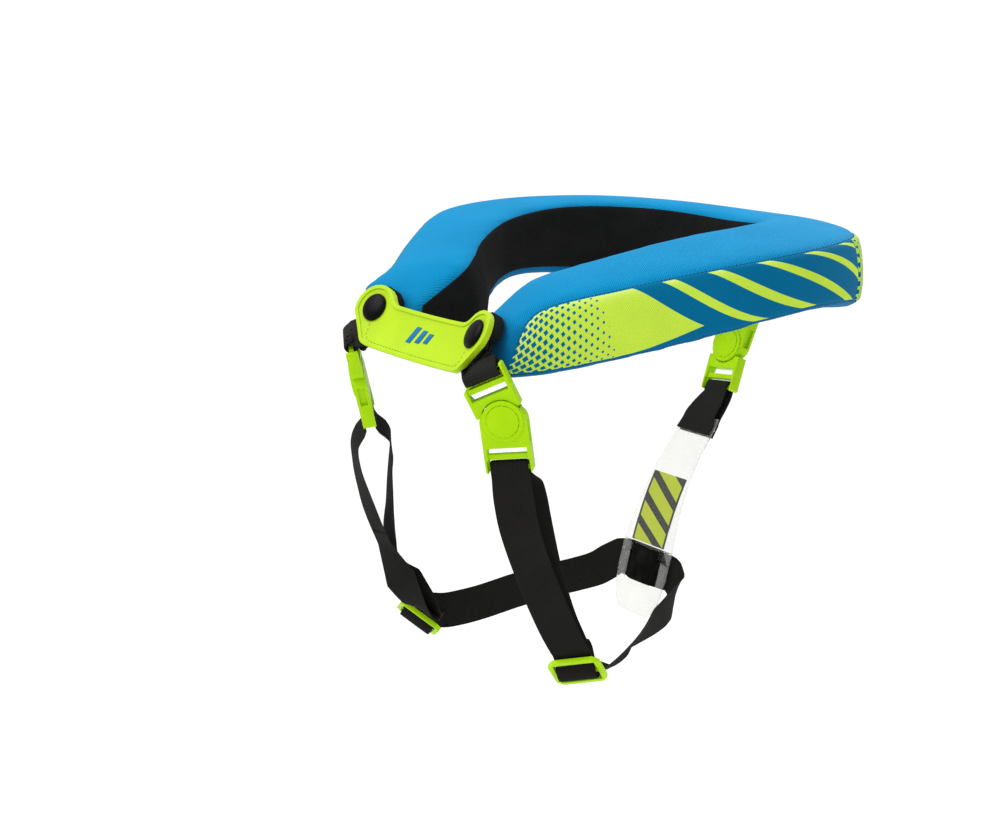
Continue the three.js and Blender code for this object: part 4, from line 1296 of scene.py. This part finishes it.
@dataclass
class Coverings:
    """The printed panels round the outside and the fleece lining inside."""

    bench: Workbench
    shape: PadShape
    pad: Piece
    top: float = 0.03
    low: float = 0.93
    rear_edge: float = 1.99
    rear_gap: float = 0.005
    nose_from: float = 6.1
    nose_tip: float = 6.97
    squareness: float = 2.7
    lining_end: float = 6.98
    lining: Pair = (2.15, 2.96)
    seam_rows: int = 420
    seam_out: float = 0.012
    seam_rise: float = 0.05

    def panel_drop(self, s: float) -> Pair:
        """The side panel's upper and lower edges, rounded at the front."""
        past = min(max((abs(s) - self.nose_from) / (self.nose_tip - self.nose_from), 0.0), 1.0)
        share = (1 - past ** self.squareness) ** (1 / self.squareness)
        return self.low - (self.low - self.top) * share, self.low

    def sew(self, pad: BVHTree) -> None:
        """Sews the panels' upper and lower edges to the jersey.

        Args:
            pad: The finished pad.
        """
        bm = bmesh.new()
        places = [self.nose_tip * (2 * k / self.seam_rows - 1) for k in range(self.seam_rows + 1)]
        for row in (lambda s: self.panel_drop(s)[0] - self.seam_out, lambda s: self.low + self.seam_out):
            outs = [self.shape.normal(s, row(s)) for s in places]
            line = [
                landed(pad, self.shape.point(s, row(s)), out) + out * self.seam_rise * MM
                for s, out in zip(places, outs)
            ]
            Stitches(length=1.7 * MM, gap=0.25 * MM, width=0.42 * MM).sew(bm, line, outs)
        self.bench.place("seam_thread", bm, [self.bench.finishes.thread_blue], "jersey_blue")

    def build(self) -> None:
        """Makes the three panels and the lining."""
        bm = bmesh.new()
        bm.from_mesh(self.pad.data)
        pad = BVHTree.FromBMesh(bm)
        bm.free()
        finishes = self.bench.finishes
        common = (self.bench, self.shape, pad)
        for side in Side:
            ends = sorted((side.value * (self.rear_edge + self.rear_gap), side.value * self.nose_tip))
            Covering(
                *common, f"printed_panel_{side.word}", f"side_panel_{side.word}", "print_canvas", finishes.arrow,
                (ends[0], ends[1]), self.panel_drop, columns=150, rows=24,
            ).build()
        self.sew(pad)
        rear = self.rear_edge - self.rear_gap
        Covering(
            *common, "printed_panel_rear", "rear_panel", "print_canvas", finishes.checks, (-rear, rear),
            lambda s: (self.top, self.low), columns=120, lift=1.1 * MM,
        ).build()
        Covering(
            *common, "fleece_lining", "neck_lining", "lining_black", finishes.fleece,
            (-self.lining_end, self.lining_end), lambda s: self.lining, columns=220, lift=0.6 * MM,
        ).build()


@dataclass
class Ribbon:
    """A flat band that follows the line of its CAD node."""

    bench: Workbench
    name: str
    node: str
    slot: str
    material: Material
    step: float = 2.0 * MM
    points: int = 16
    squareness: Pair = (0.22, 0.5)
    flat_angle: float = math.radians(1)
    corner_angle: float = math.radians(60)
    twist: Spot = (0.0, 0.0, 0.0)
    widen: float = 1.0

    def follow(self, first: List[Vert]) -> List[List[Vert]]:
        """Walks from one end of the band to the other.

        Args:
            first: The four corners of an end.

        Returns:
            The corners of each cross-section, as far as the walk goes.
        """
        rings, seen = [first], set(first)
        while True:
            layer = {e.other_vert(v) for v in rings[-1] for e in v.link_edges} - seen
            if len(layer) != 4:
                return rings
            order = min(
                itertools.permutations(layer),
                key=lambda p: sum((a.co - b.co).length for a, b in zip(p, rings[-1])),
            )
            rings.append(list(order))
            seen |= layer

    def rings(self) -> List[List[Vector]]:
        """Reads the band's four corners along its whole length.

        Returns:
            The corners of each cross-section, in the same order from the end with the lower x to the other.
        """
        bm = self.bench.copy(self.node)
        best: List[List[Vert]] = []
        for edge in bm.edges:
            if edge.calc_face_angle(1.0) > self.flat_angle:
                continue
            border = [e for f in edge.link_faces for e in f.edges if e is not edge]
            if any(e.calc_face_angle(0.0) < self.corner_angle for e in border):
                continue
            a, b = edge.verts
            sides = [next(v for v in f.verts if v not in edge.verts) for f in edge.link_faces]
            first = [a, sides[0], b, sides[1]]
            if (a.co - sides[0].co).length < (sides[0].co - b.co).length:
                first = first[1:] + first[:1]
            best = max(best, self.follow(first), key=len)
        if 4 * len(best) != len(bm.verts):
            LOG.warning("%s: only part of the band was read", self.node)
        found = [[v.co.copy() for v in ring] for ring in best]
        bm.free()
        return found[::-1] if found[0][0].x > found[-1][0].x else found

    def outline(self) -> List[Pair]:
        """The band's soft-edged section, from -1 to 1 both ways."""
        angles = [math.tau * k / self.points for k in range(self.points)]
        ways = [(math.cos(a), math.sin(a)) for a in angles]
        return [tuple(math.copysign(abs(w) ** p, w) for w, p in zip(way, self.squareness)) for way in ways]

    def build(self) -> Piece:
        """Sweeps a soft-edged section along the band.

        Returns:
            The finished piece.
        """
        rings = self.rings()
        middles = [sum(ring, Vector()) / 4 for ring in rings]
        runs = [0.0]
        for a, b in zip(middles, middles[1:]):
            runs.append(runs[-1] + (b - a).length)
        count = max(int(runs[-1] / self.step), 8)
        outline = self.outline()
        first, last, angle = self.twist
        bm = bmesh.new()
        layer = bm.verts.layers.float_vector.new("weave")
        verts = [bm.verts.new() for _ in outline]
        k = 0
        for number in range(count + 1):
            run = runs[-1] * number / count
            while k < len(runs) - 2 and runs[k + 1] < run:
                k += 1
            share = (run - runs[k]) / max(runs[k + 1] - runs[k], 1e-9)
            at = soft_line(middles, (k + share) / (len(middles) - 1))
            corner = [p.lerp(q, share) for p, q in zip(rings[k], rings[k + 1])]
            across = (corner[1] - corner[0] + corner[2] - corner[3]) / 4 * self.widen
            out = (corner[3] - corner[0] + corner[2] - corner[1]) / 4
            if first < run < last:
                along = (rings[k + 1][0] - rings[k][0]).normalized()
                turned = angle * math.sin(math.pi * (run - first) / (last - first)) ** 2
                across, out = (Matrix.Rotation(turned, 3, along) @ way for way in (across, out))
            if number:
                verts = extrude_chain(bm, verts, True)
            for vert, (x, y) in zip(verts, outline):
                vert.co = at + across * x + out * y
                vert[layer] = (across.length * x, run, y)
        close_ends(bm)
        return self.bench.place(self.name, bm, [self.material], self.slot, self.node, corner=80.0)


@dataclass
class SnapPlate:
    """The rubber front plate, its two snaps and the tabs behind it. Lengths are in millimetres."""

    bench: Workbench
    centre: Spot = (0, -118.1, -9.3)
    lean: float = math.radians(32)
    bow: float = 4.6
    lug_x: float = 45.0
    probe: float = 30.0
    bars: int = 3
    bar_pitch: float = 6.6
    bar_shift: Pair = (-1.5, -7.4)
    bar_half: float = 1.9
    bar_tall: Pair = (4.6, 0.9)
    bar_lean: float = 0.45
    bar_sink: float = 0.3
    bar_rise: float = 0.75
    bar_rounding: float = 0.25
    sewn_end: Sequence[Pair] = ((43.4, -8.6), (42.4, -14.4), (40.4, -16.9), (37.5, -17.6))
    sewn_parts: int = 12
    cap_radius: float = 7.5
    cap_height: float = 2.4
    cap_dome: Sequence[Pair] = ((0, 0), (0.35, -0.08), (0.62, -0.32), (0.84, -0.8), (0.95, -1.3), (1, -1.8))
    cap_rim: Pair = (0.25, 0.15)
    cap_steps: int = 40
    stem: Pair = (2.4, 5.0)

    def frame(self) -> Matrix:
        """The plate's own axes."""
        c, s = math.cos(self.lean), math.sin(self.lean)
        return frame_at(mm(*self.centre), Vector((0, -c, s)), Vector((0, s, c)))

    def on_face(self, tree: BVHTree, x: float, y: float) -> Tuple[Vector, Vector]:
        """A point of the plate's front and the way it faces.

        Args:
            tree: The plate's surface.
            x: Millimetres to the side.
            y: Millimetres up the plate.

        Returns:
            The point and its normal.
        """
        frame = self.frame()
        ahead = (frame.to_3x3() @ Vector((0, 0, 1))).normalized()
        at, out, _, _ = tree.ray_cast(frame @ mm(x, y, self.probe), -ahead)
        return at, out

    def motif(self, bm: Mesh, tree: BVHTree) -> None:
        """Raises a few slanting bars in the middle of the plate.

        Args:
            bm: The plate's mesh.
            tree: The plate's surface.
        """
        edge_layer = bm.faces.layers.float["edge"]
        half = self.bar_half
        for k in range(self.bars):
            x0, tall = (k - 1) * self.bar_pitch + self.bar_shift[0], self.bar_tall[0] - self.bar_tall[1] * k
            verts = []
            for dx, dy in ((-half, -tall), (half, -tall), (half, tall), (-half, tall)):
                at, out = self.on_face(tree, x0 + dx + dy * self.bar_lean, self.bar_shift[1] + dy)
                verts.append(bm.verts.new(at - out * self.bar_sink * MM))
            made = bmesh.ops.extrude_face_region(bm, geom=[bm.faces.new(verts)])["geom"]
            lifted = [v for v in made if isinstance(v, Vert)]
            bmesh.ops.translate(bm, verts=lifted, vec=out * self.bar_rise * MM)
            faces = {f for v in verts + lifted for f in v.link_faces}
            bmesh.ops.recalc_face_normals(bm, faces=list(faces))
            edges = {e for f in faces for e in f.edges}
            rounded = bevel(bm, list(edges), self.bar_rounding * MM, 2)
            for f in {f for v in rounded["verts"] for f in v.link_faces} | {f for f in faces if f.is_valid}:
                f.material_index = 1
                f[edge_layer] = 0.0

    def build_plate(self) -> None:
        """Makes the plate with its motif and its sewn-look line."""
        bench, finishes = self.bench, self.bench.finishes
        tree = bench.tree("front_plate")
        bm = bench.softened("front_plate", width=0.55 * MM)
        self.motif(bm, tree)
        x, y = self.sewn_end[-1]
        path = [(-x, y) for x, y in self.sewn_end]
        path += [(x * (2 * k / self.sewn_parts - 1), y) for k in range(1, self.sewn_parts)]
        path += self.sewn_end[::-1]
        found = [self.on_face(tree, x, y) for x, y in path]
        sewn = Stitches(length=1.7 * MM, gap=0.8 * MM, width=0.5 * MM)
        sewn.sew(bm, [p for p, _ in found], [n for _, n in found], 2)
        materials = [finishes.rubber, finishes.motif, finishes.thread_lime]
        bench.place("rubber_plate", bm, materials, "rubber_lime", "front_plate")

    def build_cap(self, side: Side) -> None:
        """Spins a domed snap cap."""
        bench, frame, name = self.bench, self.frame(), f"snap_cap_{side.word}"
        axis = frame.to_3x3() @ Vector((-2 * self.bow * side.value / self.lug_x, 0, 1)).normalized()
        seat = frame @ mm(side.value * self.lug_x, 0, self.bow)
        top = bench.tree(name).ray_cast(seat + axis * (self.probe * MM), -axis)[0]
        place = frame_at(top, axis, frame.to_3x3() @ Vector((0, 1, 0)))
        (r, h), (inset, edge), (stem, deep) = (self.cap_radius, self.cap_height), self.cap_rim, self.stem
        profile = [(r * share, z) for share, z in self.cap_dome]
        profile += [(r, -h + edge), (r - inset, -h), (stem, -h), (stem, -h - deep)]
        bm = bmesh.new()
        verts = [bm.verts.new(place @ mm(x, 0, z)) for x, z in profile]
        chain = [bm.edges.new(pair) for pair in zip(verts, verts[1:])]
        bmesh.ops.spin(
            bm, geom=verts + chain, cent=top, axis=axis, angle=math.tau, steps=self.cap_steps, use_merge=True
        )
        bmesh.ops.remove_doubles(bm, verts=bm.verts, dist=0.004 * MM)
        close_ends(bm)
        bench.place(f"domed_snap_{side.word}", bm, [bench.finishes.snap], "snap_black", name, corner=50.0)

    def build_tab(self, side: Side) -> None:
        """Softens the thick fabric tab behind a lug."""
        name = f"snap_tab_{side.word}"
        bm = self.bench.softened(name, width=1.1 * MM, segments=4, corner=40.0)
        self.bench.place(f"felt_tab_{side.word}", bm, [self.bench.finishes.fleece], "lining_black", name, corner=60.0)

    def build(self) -> None:
        """Makes the plate, the caps and the tabs."""
        self.build_plate()
        for side in Side:
            self.build_cap(side)
            self.build_tab(side)


@dataclass
class Buckle:
    """A round-button buckle: a plug that turns a little in its socket. Lengths are in millimetres."""

    bench: Workbench
    name: str
    button: Spot
    face: Spot
    up: Spot
    swivel: float
    cheeks: Pair
    arm_cut: Pair = (0.0, 0.0)
    arm_from: float = 25.0
    half_width: float = 11.4
    side_from: float = 11.3
    side_foot: float = 9.3
    hollow: float = 10.7
    hollow_end: float = math.radians(48)
    hollow_gap: float = 0.3
    cheek_lip: float = 0.5
    slot_half: float = 9.8
    slot_wall: Pair = (14.4, 13.5)
    bar: Pair = (16.9, 19.7)
    bar_back: Pair = (-2.5, -0.5)
    button_radius: Pair = (7.6, 7.97)
    button_from: float = 1.7
    shoulder: float = -2.0
    shoulder_rounding: float = 2.6
    shoulder_height: float = 4.0
    window: Spot = (0.5, 11.5, 1.9)
    window_depth: float = 1.5
    facing: float = 0.999
    near: float = 0.05

    def frame(self, plug: bool) -> Matrix:
        """The axes of one half, with y towards its strap.

        Args:
            plug: True for the plug, False for the socket.

        Returns:
            The matrix to the collar's axes.
        """
        face, up = Vector(self.face).normalized(), Vector(self.up)
        strap = Matrix.Rotation(self.swivel, 3, face) @ up if plug else -up
        return frame_at(mm(*self.button), face, strap)

    def spots(self, bm: Mesh, plug: bool) -> Iterator[Tuple[Vert, float, float, float]]:
        """Each vertex of a half and its place in the half's own millimetres."""
        inward = self.frame(plug).inverted()
        for vert in bm.verts:
            x, y, z = (inward @ vert.co) / MM
            yield vert, x, y, z

    def open_slot(self, bm: Mesh, plug: bool) -> None:
        """Thins the inner bar, widens the slot beside it and shortens the plug's arms.

        Args:
            bm: The half's mesh.
            plug: True for the plug.
        """
        frame = self.frame(plug)
        for vert, x, y, z in self.spots(bm, plug):
            inside = abs(x) < self.slot_half
            if inside and abs(y - self.slot_wall[0]) < self.near:
                vert.co = frame @ mm(x, self.slot_wall[1], z)
            elif inside and self.bar[0] < y < self.bar[1] and z < self.bar_back[0]:
                vert.co = frame @ mm(x, y, self.bar_back[1])
            elif plug and y > self.arm_from:
                vert.co = frame @ mm(x, y - self.arm_cut[x > 0], z)

    def extend_cheeks(self, bm: Mesh) -> None:
        """Carries the plug's sides on round the button.

        Args:
            bm: The plug's mesh.
        """
        frame = self.frame(True)
        bend = (self.hollow * math.cos(self.hollow_end), self.hollow * math.sin(self.hollow_end))
        radius = self.hollow + self.hollow_gap
        for vert, x, y, z in self.spots(bm, True):
            low = self.cheeks[x > 0]
            if abs(abs(x) - self.half_width) < self.near and abs(y - self.side_foot) < self.near:
                vert.co = frame @ mm(x, low, z)
            elif abs(abs(x) - bend[0]) < self.near and abs(y - bend[1]) < self.near:
                angle = math.asin((low - self.cheek_lip) / self.hollow)
                vert.co = frame @ mm(math.copysign(radius * math.cos(angle), x), radius * math.sin(angle), z)

    def close_button(self, bm: Mesh) -> None:
        """Widens the button until only a fine line is left round it.

        Args:
            bm: The plug's mesh.
        """
        frame = self.frame(True)
        small, large = self.button_radius
        for vert, x, y, z in self.spots(bm, True):
            radius = math.hypot(x, y)
            if z > self.button_from and abs(radius - small) < 2 * self.near:
                vert.co = frame @ mm(x * large / radius, y * large / radius, z)

    def round_shoulders(self, bm: Mesh) -> None:
        """Rounds the socket's two corners beside the plug.

        Args:
            bm: The socket's mesh.
        """
        corners_at = {
            vert for vert, x, y, _ in self.spots(bm, False)
            if abs(y - self.shoulder) < 2 * self.near and abs(x) > self.side_from
        }
        across = (self.frame(False).to_3x3() @ Vector((0, 0, 1))).normalized()
        edges = []
        for edge in bm.edges:
            a, b = edge.verts
            if corners_at.issuperset((a, b)) and abs((a.co - b.co).dot(across)) > self.shoulder_height * MM:
                edges.append(edge)
        bevel(bm, edges, self.shoulder_rounding * MM, 4)

    def cut_windows(self, bm: Mesh) -> None:
        """Sinks a shallow window in each side of the socket.

        Args:
            bm: The socket's mesh.
        """
        frame = self.frame(False)
        turn, inward = frame.to_3x3(), frame.inverted()
        low, high, half = self.window
        along, across = Vector((0, 1, 0)), Vector((0, 0, 1))
        for sign in (-1, 1):
            out = (turn @ Vector((sign, 0, 0))).normalized()

            def on_side() -> Iterator[Tuple[bmesh.types.BMFace, Vector]]:
                """Each face of this side and its middle, in the socket's own millimetres."""
                for face in list(bm.faces):
                    at = (inward @ face.calc_center_median()) / MM
                    if face.normal.dot(out) > self.facing and abs(at.x) > self.side_from:
                        yield face, at

            for reach, way in ((low, along), (high, along), (half, across), (-half, across)):
                faces = [face for face, at in on_side() if way is along or low < at.y < high]
                edges = {e for f in faces for e in f.edges}
                verts = {v for f in faces for v in f.verts}
                cut = {"plane_co": frame @ mm(*(way * reach)), "plane_no": turn @ way}
                bmesh.ops.bisect_plane(bm, geom=[*faces, *edges, *verts], dist=1e-6, **cut)
            inside = [face for face, at in on_side() if low < at.y < high and abs(at.z) < half * 0.5]
            made = bmesh.ops.extrude_discrete_faces(bm, faces=inside[:1])
            bmesh.ops.translate(bm, verts=made["faces"][0].verts, vec=-out * self.window_depth * MM)

    def build(self) -> None:
        """Makes both halves."""
        for part, plug in (("plug", True), ("socket", False)):
            node = f"buckle_{part}_{self.name}"

            def reshape(bm: Mesh, plug: bool = plug) -> None:
                """Opens the strap slot, and finishes the sides."""
                self.open_slot(bm, plug)
                steps = (self.extend_cheeks, self.close_button) if plug else (self.round_shoulders, self.cut_windows)
                for step in steps:
                    step(bm)

            bm = self.bench.softened(node, width=0.45 * MM, reshape=reshape)
            self.bench.place(f"moulded_{part}_{self.name}", bm, [self.bench.finishes.plastic], "buckle_lime", node)


@dataclass
class Fastenings:
    """The buckles and sliders of the harness."""

    bench: Workbench
    rear_tilt: float = math.radians(25)

    def build(self) -> None:
        """Makes the three buckles and softens the sliders."""
        c, s = math.cos(self.rear_tilt), math.sin(self.rear_tilt)
        Buckle(
            self.bench, "left", button=(-64.2, -121.1, -46.7), face=(-0.536, -0.825, -0.18), up=(0.2, -0.33, 0.92),
            swivel=0.0, cheeks=(6.2, 6.2), arm_cut=(4.2, 4.2),
        ).build()
        Buckle(
            self.bench, "right", button=(65.1, -119.7, -44.6), face=(0.68, -0.727, -0.11), up=(0, -0.15, 0.989),
            swivel=math.radians(19), cheeks=(5.4, 4.4), arm_cut=(6.5, 0.0),
        ).build()
        Buckle(
            self.bench, "rear", button=(0, 86.5, -45.8), face=(0, -c, s), up=(0, -s, -c),
            swivel=math.radians(6), cheeks=(6.6, 6.2),
        ).build()
        for side in Side:
            name = f"slider_{side.word}"
            bm = self.bench.softened(name, width=0.5 * MM)
            self.bench.place(f"moulded_{name}", bm, [self.bench.finishes.plastic], "buckle_lime", name)


@dataclass
class BackTab:
    """The clear sheet that the rear strap passes through."""

    bench: Workbench
    rows: Sequence[Pair] = ((43.5, -114.7), (34.3, -133), (26.8, -153))
    half: float = 13.6
    last: float = 0.98
    steps: int = 24
    wide: int = 8
    probe: float = 0.02
    ink_start: float = 8
    ink_rise: float = 0.14 * MM

    def build(self) -> None:
        """Makes the sheet with its generic print."""
        bench, finishes = self.bench, self.bench.finishes
        bm = bench.softened("back_tab", width=0.25 * MM, segments=2)
        edge_layer = bm.faces.layers.float["edge"]
        layer = bm.verts.layers.float_vector.new("weave")
        tree = bench.tree("back_tab")
        line = [mm(0, y, z) for y, z in self.rows]
        verts = [bm.verts.new() for _ in range(self.wide + 1)]
        fresh: List[bmesh.types.BMFace] = []
        for k in range(self.steps + 1):
            t = self.last * k / self.steps
            at, ahead, behind = (soft_line(line, min(max(t + d, 0), 1)) for d in (0, self.probe, -self.probe))
            along = (ahead - behind).normalized()
            out = Vector((0, along.z, -along.y))
            if k:
                verts = extrude_chain(bm, verts, False)
                fresh += {f for v in verts for f in v.link_faces}
            for j, vert in enumerate(verts):
                x = self.half * (2 * j / self.wide - 1)
                hit = tree.ray_cast(at + Vector((x * MM, 0, 0)) + out * self.ink_start * MM, -out)[0]
                vert.co = (hit or at) + out * self.ink_rise
                vert[layer] = (x * MM, at.z, 0.0)
        for face in fresh:
            face.material_index = 1
            face[edge_layer] = 0.0
        bmesh.ops.solidify(bm, geom=fresh, thickness=self.ink_rise / 2)
        bench.place("clear_tab", bm, [finishes.clear, finishes.ink], "tab_clear", "back_tab")


@dataclass
class Harness:
    """The webbing loops, the long strap and what joins them."""

    bench: Workbench
    loop_step: float = 1.2 * MM
    front_widen: float = 1.1
    strap_twist: Spot = (0.17, 0.3, math.radians(-20))

    def build(self) -> None:
        """Makes every band, then the mouldings and the clear tab."""
        finishes = self.bench.finishes
        for place, node, widen in (
            ("left", "hanger_loop_left", self.front_widen), ("right", "hanger_loop_right", self.front_widen),
            ("rear", "hanger_loop_rear", 1.0), ("tab", "tab_loop", 1.0),
        ):
            Ribbon(
                self.bench, f"webbing_loop_{place}", node, "webbing_black", finishes.webbing, step=self.loop_step,
                widen=widen,
            ).build()
        Ribbon(
            self.bench, "elastic_strap", "harness_strap", "elastic_black", finishes.elastic, twist=self.strap_twist
        ).build()
        Fastenings(self.bench).build()
        BackTab(self.bench).build()


@dataclass
class Studio:
    """The camera, the soft light and the pale floor, in millimetres; the lamps and floor_size in metres."""

    finishes: Finishes
    azimuth: float = math.radians(54.41)
    elevation: float = math.radians(13.88)
    roll: float = math.radians(-0.41)
    distance: float = 908.7
    target: Spot = (-11.1, -67.5, -66.2)
    focal: float = 1725.4
    frame_width: float = 1000.0
    sensor: float = 36.0
    room_light: float = 0.62
    lamps: Sequence[Tuple[str, Spot, float, float]] = (
        ("key", (-0.5, -0.9, 1.1), 8.0, 0.9),
        ("fill", (1.2, -0.5, 0.6), 3.0, 1.0),
        ("back", (-0.1, 0.65, 0.42), 3.0, 0.4),
    )
    lit_point: Spot = (0, 0, -0.06)
    sun_strength: float = 1.7
    sun_angle: float = math.radians(70)
    sun_from: Spot = (-0.25, -0.3, 1)
    floor: float = -900.0
    floor_size: float = 400.0

    def build(self) -> None:
        """Sets up the shot."""
        self.build_camera()
        self.build_light()
        self.build_floor()

    def build_camera(self) -> None:
        """Points the camera as the photograph was taken."""
        a, e, r = self.azimuth, self.elevation, self.roll
        back = Vector((math.sin(a) * math.cos(e), -math.cos(a) * math.cos(e), math.sin(e)))
        right = Vector((math.cos(a), math.sin(a), 0))
        up = back.cross(right)
        turned = right * math.cos(r) + up * math.sin(r)
        upright = up * math.cos(r) - right * math.sin(r)
        data = bpy.data.cameras.new("photo_camera")
        data.sensor_width = self.sensor
        data.sensor_fit = "HORIZONTAL"
        data.lens = self.sensor * self.focal / self.frame_width
        data.clip_start = 0.05
        camera = bpy.data.objects.new("photo_camera", data)
        bpy.context.scene.collection.objects.link(camera)
        spot = mm(*self.target) + back * self.distance * MM
        camera.matrix_world = Matrix.Translation(spot) @ Matrix((turned, upright, back)).transposed().to_4x4()
        bpy.context.scene.camera = camera

    def build_light(self) -> None:
        """Sets a room that the camera sees as white, three soft lamps and a wide sun."""
        scene = bpy.context.scene
        scene.view_settings.view_transform = "Standard"
        world = bpy.data.worlds.new("white_room")
        world.use_nodes = True
        sky = world.node_tree.nodes["Background"]
        sky.inputs["Color"].default_value = (1.0, 1.0, 1.0, 1.0)
        g = Graph(world.node_tree)
        seen = g.add("ShaderNodeLightPath").outputs["Is Camera Ray"]
        g.feed(sky.inputs["Strength"], g.line(seen, 1 - self.room_light, self.room_light))
        scene.world = world
        for name, spot, power, size in self.lamps:
            data = bpy.data.lights.new(name, "AREA")
            data.energy = power
            data.size = size
            lamp = bpy.data.objects.new(name, data)
            lamp.visible_camera = False
            scene.collection.objects.link(lamp)
            lamp.matrix_world = frame_at(Vector(spot), Vector(spot) - Vector(self.lit_point), Vector((0, 0.3, 1)))
        sun = bpy.data.lights.new("ceiling", "SUN")
        sun.energy = self.sun_strength
        sun.angle = self.sun_angle
        lamp = bpy.data.objects.new("ceiling", sun)
        scene.collection.objects.link(lamp)
        lamp.matrix_world = frame_at(Vector((0, 0, 1.5)), Vector(self.sun_from), Vector((0, 1, 0)))

    def build_floor(self) -> None:
        """Lays a wide pale floor under the strap."""
        bm = bmesh.new()
        place = Matrix.Translation(mm(0, 0, self.floor))
        bmesh.ops.create_grid(bm, x_segments=24, y_segments=24, size=self.floor_size, matrix=place)
        piece = linked("floor", bm)
        piece.data.materials.append(self.finishes.paper)


def main() -> None:
    """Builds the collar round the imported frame."""
    logging.basicConfig(level=logging.INFO, format="%(name)s %(message)s")
    for piece in list(bpy.data.objects):
        bpy.data.objects.remove(piece)
    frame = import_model()
    finishes = Finishes()
    bench = Workbench(frame, finishes)
    Studio(finishes).build()
    shape = PadShape()
    pad = PaddedRing(bench, shape).build()
    Coverings(bench, shape, pad).build()
    SnapPlate(bench).build()
    Harness(bench).build()


if __name__ == "__main__":
    main()
